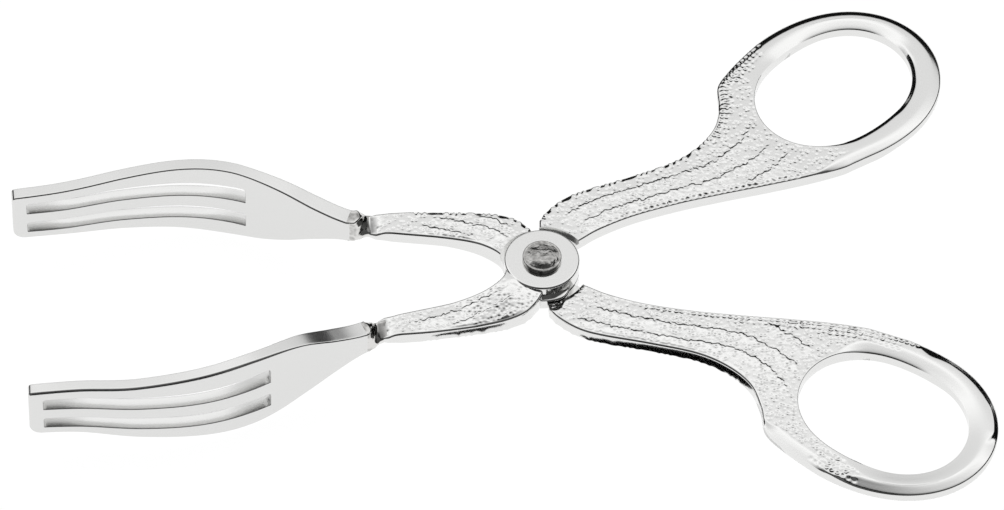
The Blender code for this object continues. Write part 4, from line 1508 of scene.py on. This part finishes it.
# %% Lights
def softbox(name, azimuth, elevation, distance, size, radiance, gradient):
    """A rectangular area light that faces the tongs. Its radiance is its brightness in a mirror, and
    the gradient gives the share of that from the bottom (0) to the top (1)."""
    light = bpy.data.lights.new(name, "AREA")
    light.shape = "RECTANGLE"
    light.size, light.size_y = size
    light.energy = radiance * math.pi * size[0] * size[1]
    light.use_nodes = True
    tree = light.node_tree
    face = add_node(tree, "ShaderNodeNewGeometry")
    height = add_node(tree, "ShaderNodeSeparateXYZ", {}, {"Vector": face.outputs["Parametric"]})
    ramp = add_node(tree, "ShaderNodeValToRGB", {}, {"Fac": height.outputs["Y"]})
    while len(ramp.color_ramp.elements) < len(gradient):
        ramp.color_ramp.elements.new(0.5)
    for element, (place, share) in zip(ramp.color_ramp.elements, gradient):
        element.position = place
        element.color = (share, share, share, 1)
    tree.links.new(ramp.outputs["Color"], tree.nodes["Emission"].inputs["Color"])
    lamp = bpy.data.objects.new(name, light)
    towards = Vector((math.cos(azimuth) * math.cos(elevation), math.sin(azimuth) * math.cos(elevation),
                      math.sin(elevation)))
    lamp.location = towards * distance
    lamp.rotation_euler = towards.to_track_quat("Z", "Y").to_euler()
    hide_from(lamp, "camera")
    bpy.context.collection.objects.link(lamp)


CAMERA_TURN_DEGREES = 6.75
FACING_CAMERA = math.radians(90 - CAMERA_TURN_DEGREES)
GRADIENT = ((0.0, 0.0), (0.02, 0.25), (0.06, 0.55), (0.13, 0.66), (0.25, 0.71), (0.36, 0.73), (0.44, 0.86),
            (0.52, 1.0), (0.62, 0.78), (0.76, 0.52), (0.88, 0.34), (1.0, 0.15))
EVEN = ((0.0, 1.0), (1.0, 1.0))
softbox("softbox_over_far_side", FACING_CAMERA, elevation=math.radians(61), distance=1.5,
        size=(3.1, 1.95), radiance=1.25, gradient=GRADIENT)
for name, turn, radiance in (("left", 130, 0.08), ("middle", 180, 0.02), ("right", 230, 0.08)):
    softbox(f"fill_{name}", FACING_CAMERA + math.radians(turn), elevation=math.radians(42),
            distance=2.0, size=(1.87, 2.65), radiance=radiance, gradient=EVEN)
ROOM_GLOW = 0.004
world = bpy.data.worlds.new("dark studio")
world.use_nodes = True
world.node_tree.nodes["Background"].inputs["Color"].default_value = (ROOM_GLOW, ROOM_GLOW, ROOM_GLOW, 1)
bpy.context.scene.world = world
bpy.context.scene.view_settings.view_transform = "Standard"

# %% [markdown]
# The camera stands where the photographer's did. Its angles were found from the two halves, which
# mirror each other: with the right height, turn and distance they fall on one another. It stands
# 1.4 m away and its frame is only 0.2 m wide there, so lines hardly converge.

# %% Camera
CAMERA_ELEVATION = math.radians(52.08)
CAMERA_TURN = math.radians(CAMERA_TURN_DEGREES)
CAMERA_ROLL = math.radians(-2.03)
CAMERA_DISTANCE = 1.41393
RIVET_IN_FRAME = Vector((0.00795, -0.001912, 0))
FRAME_WIDTH = 0.2008
SENSOR_WIDTH = 36.0

turn = (Matrix.Rotation(CAMERA_ROLL, 4, "Z") @ Matrix.Rotation(CAMERA_ELEVATION - math.pi / 2, 4, "X")
        @ Matrix.Rotation(CAMERA_TURN, 4, "Z"))
stand_off = Matrix.Translation(Vector((0, 0, CAMERA_DISTANCE)) - RIVET_IN_FRAME)
camera = bpy.data.objects.new("camera", bpy.data.cameras.new("camera"))
camera.matrix_world = ON_TABLE @ Matrix.Translation((0, 0, HALF * MM)) @ turn.transposed() @ stand_off
camera.data.sensor_width = SENSOR_WIDTH
camera.data.lens = SENSOR_WIDTH * CAMERA_DISTANCE / FRAME_WIDTH
bpy.context.collection.objects.link(camera)
bpy.context.scene.camera = camera
print(f"lens {camera.data.lens:.1f} mm, camera {camera.location.length:.2f} m away")
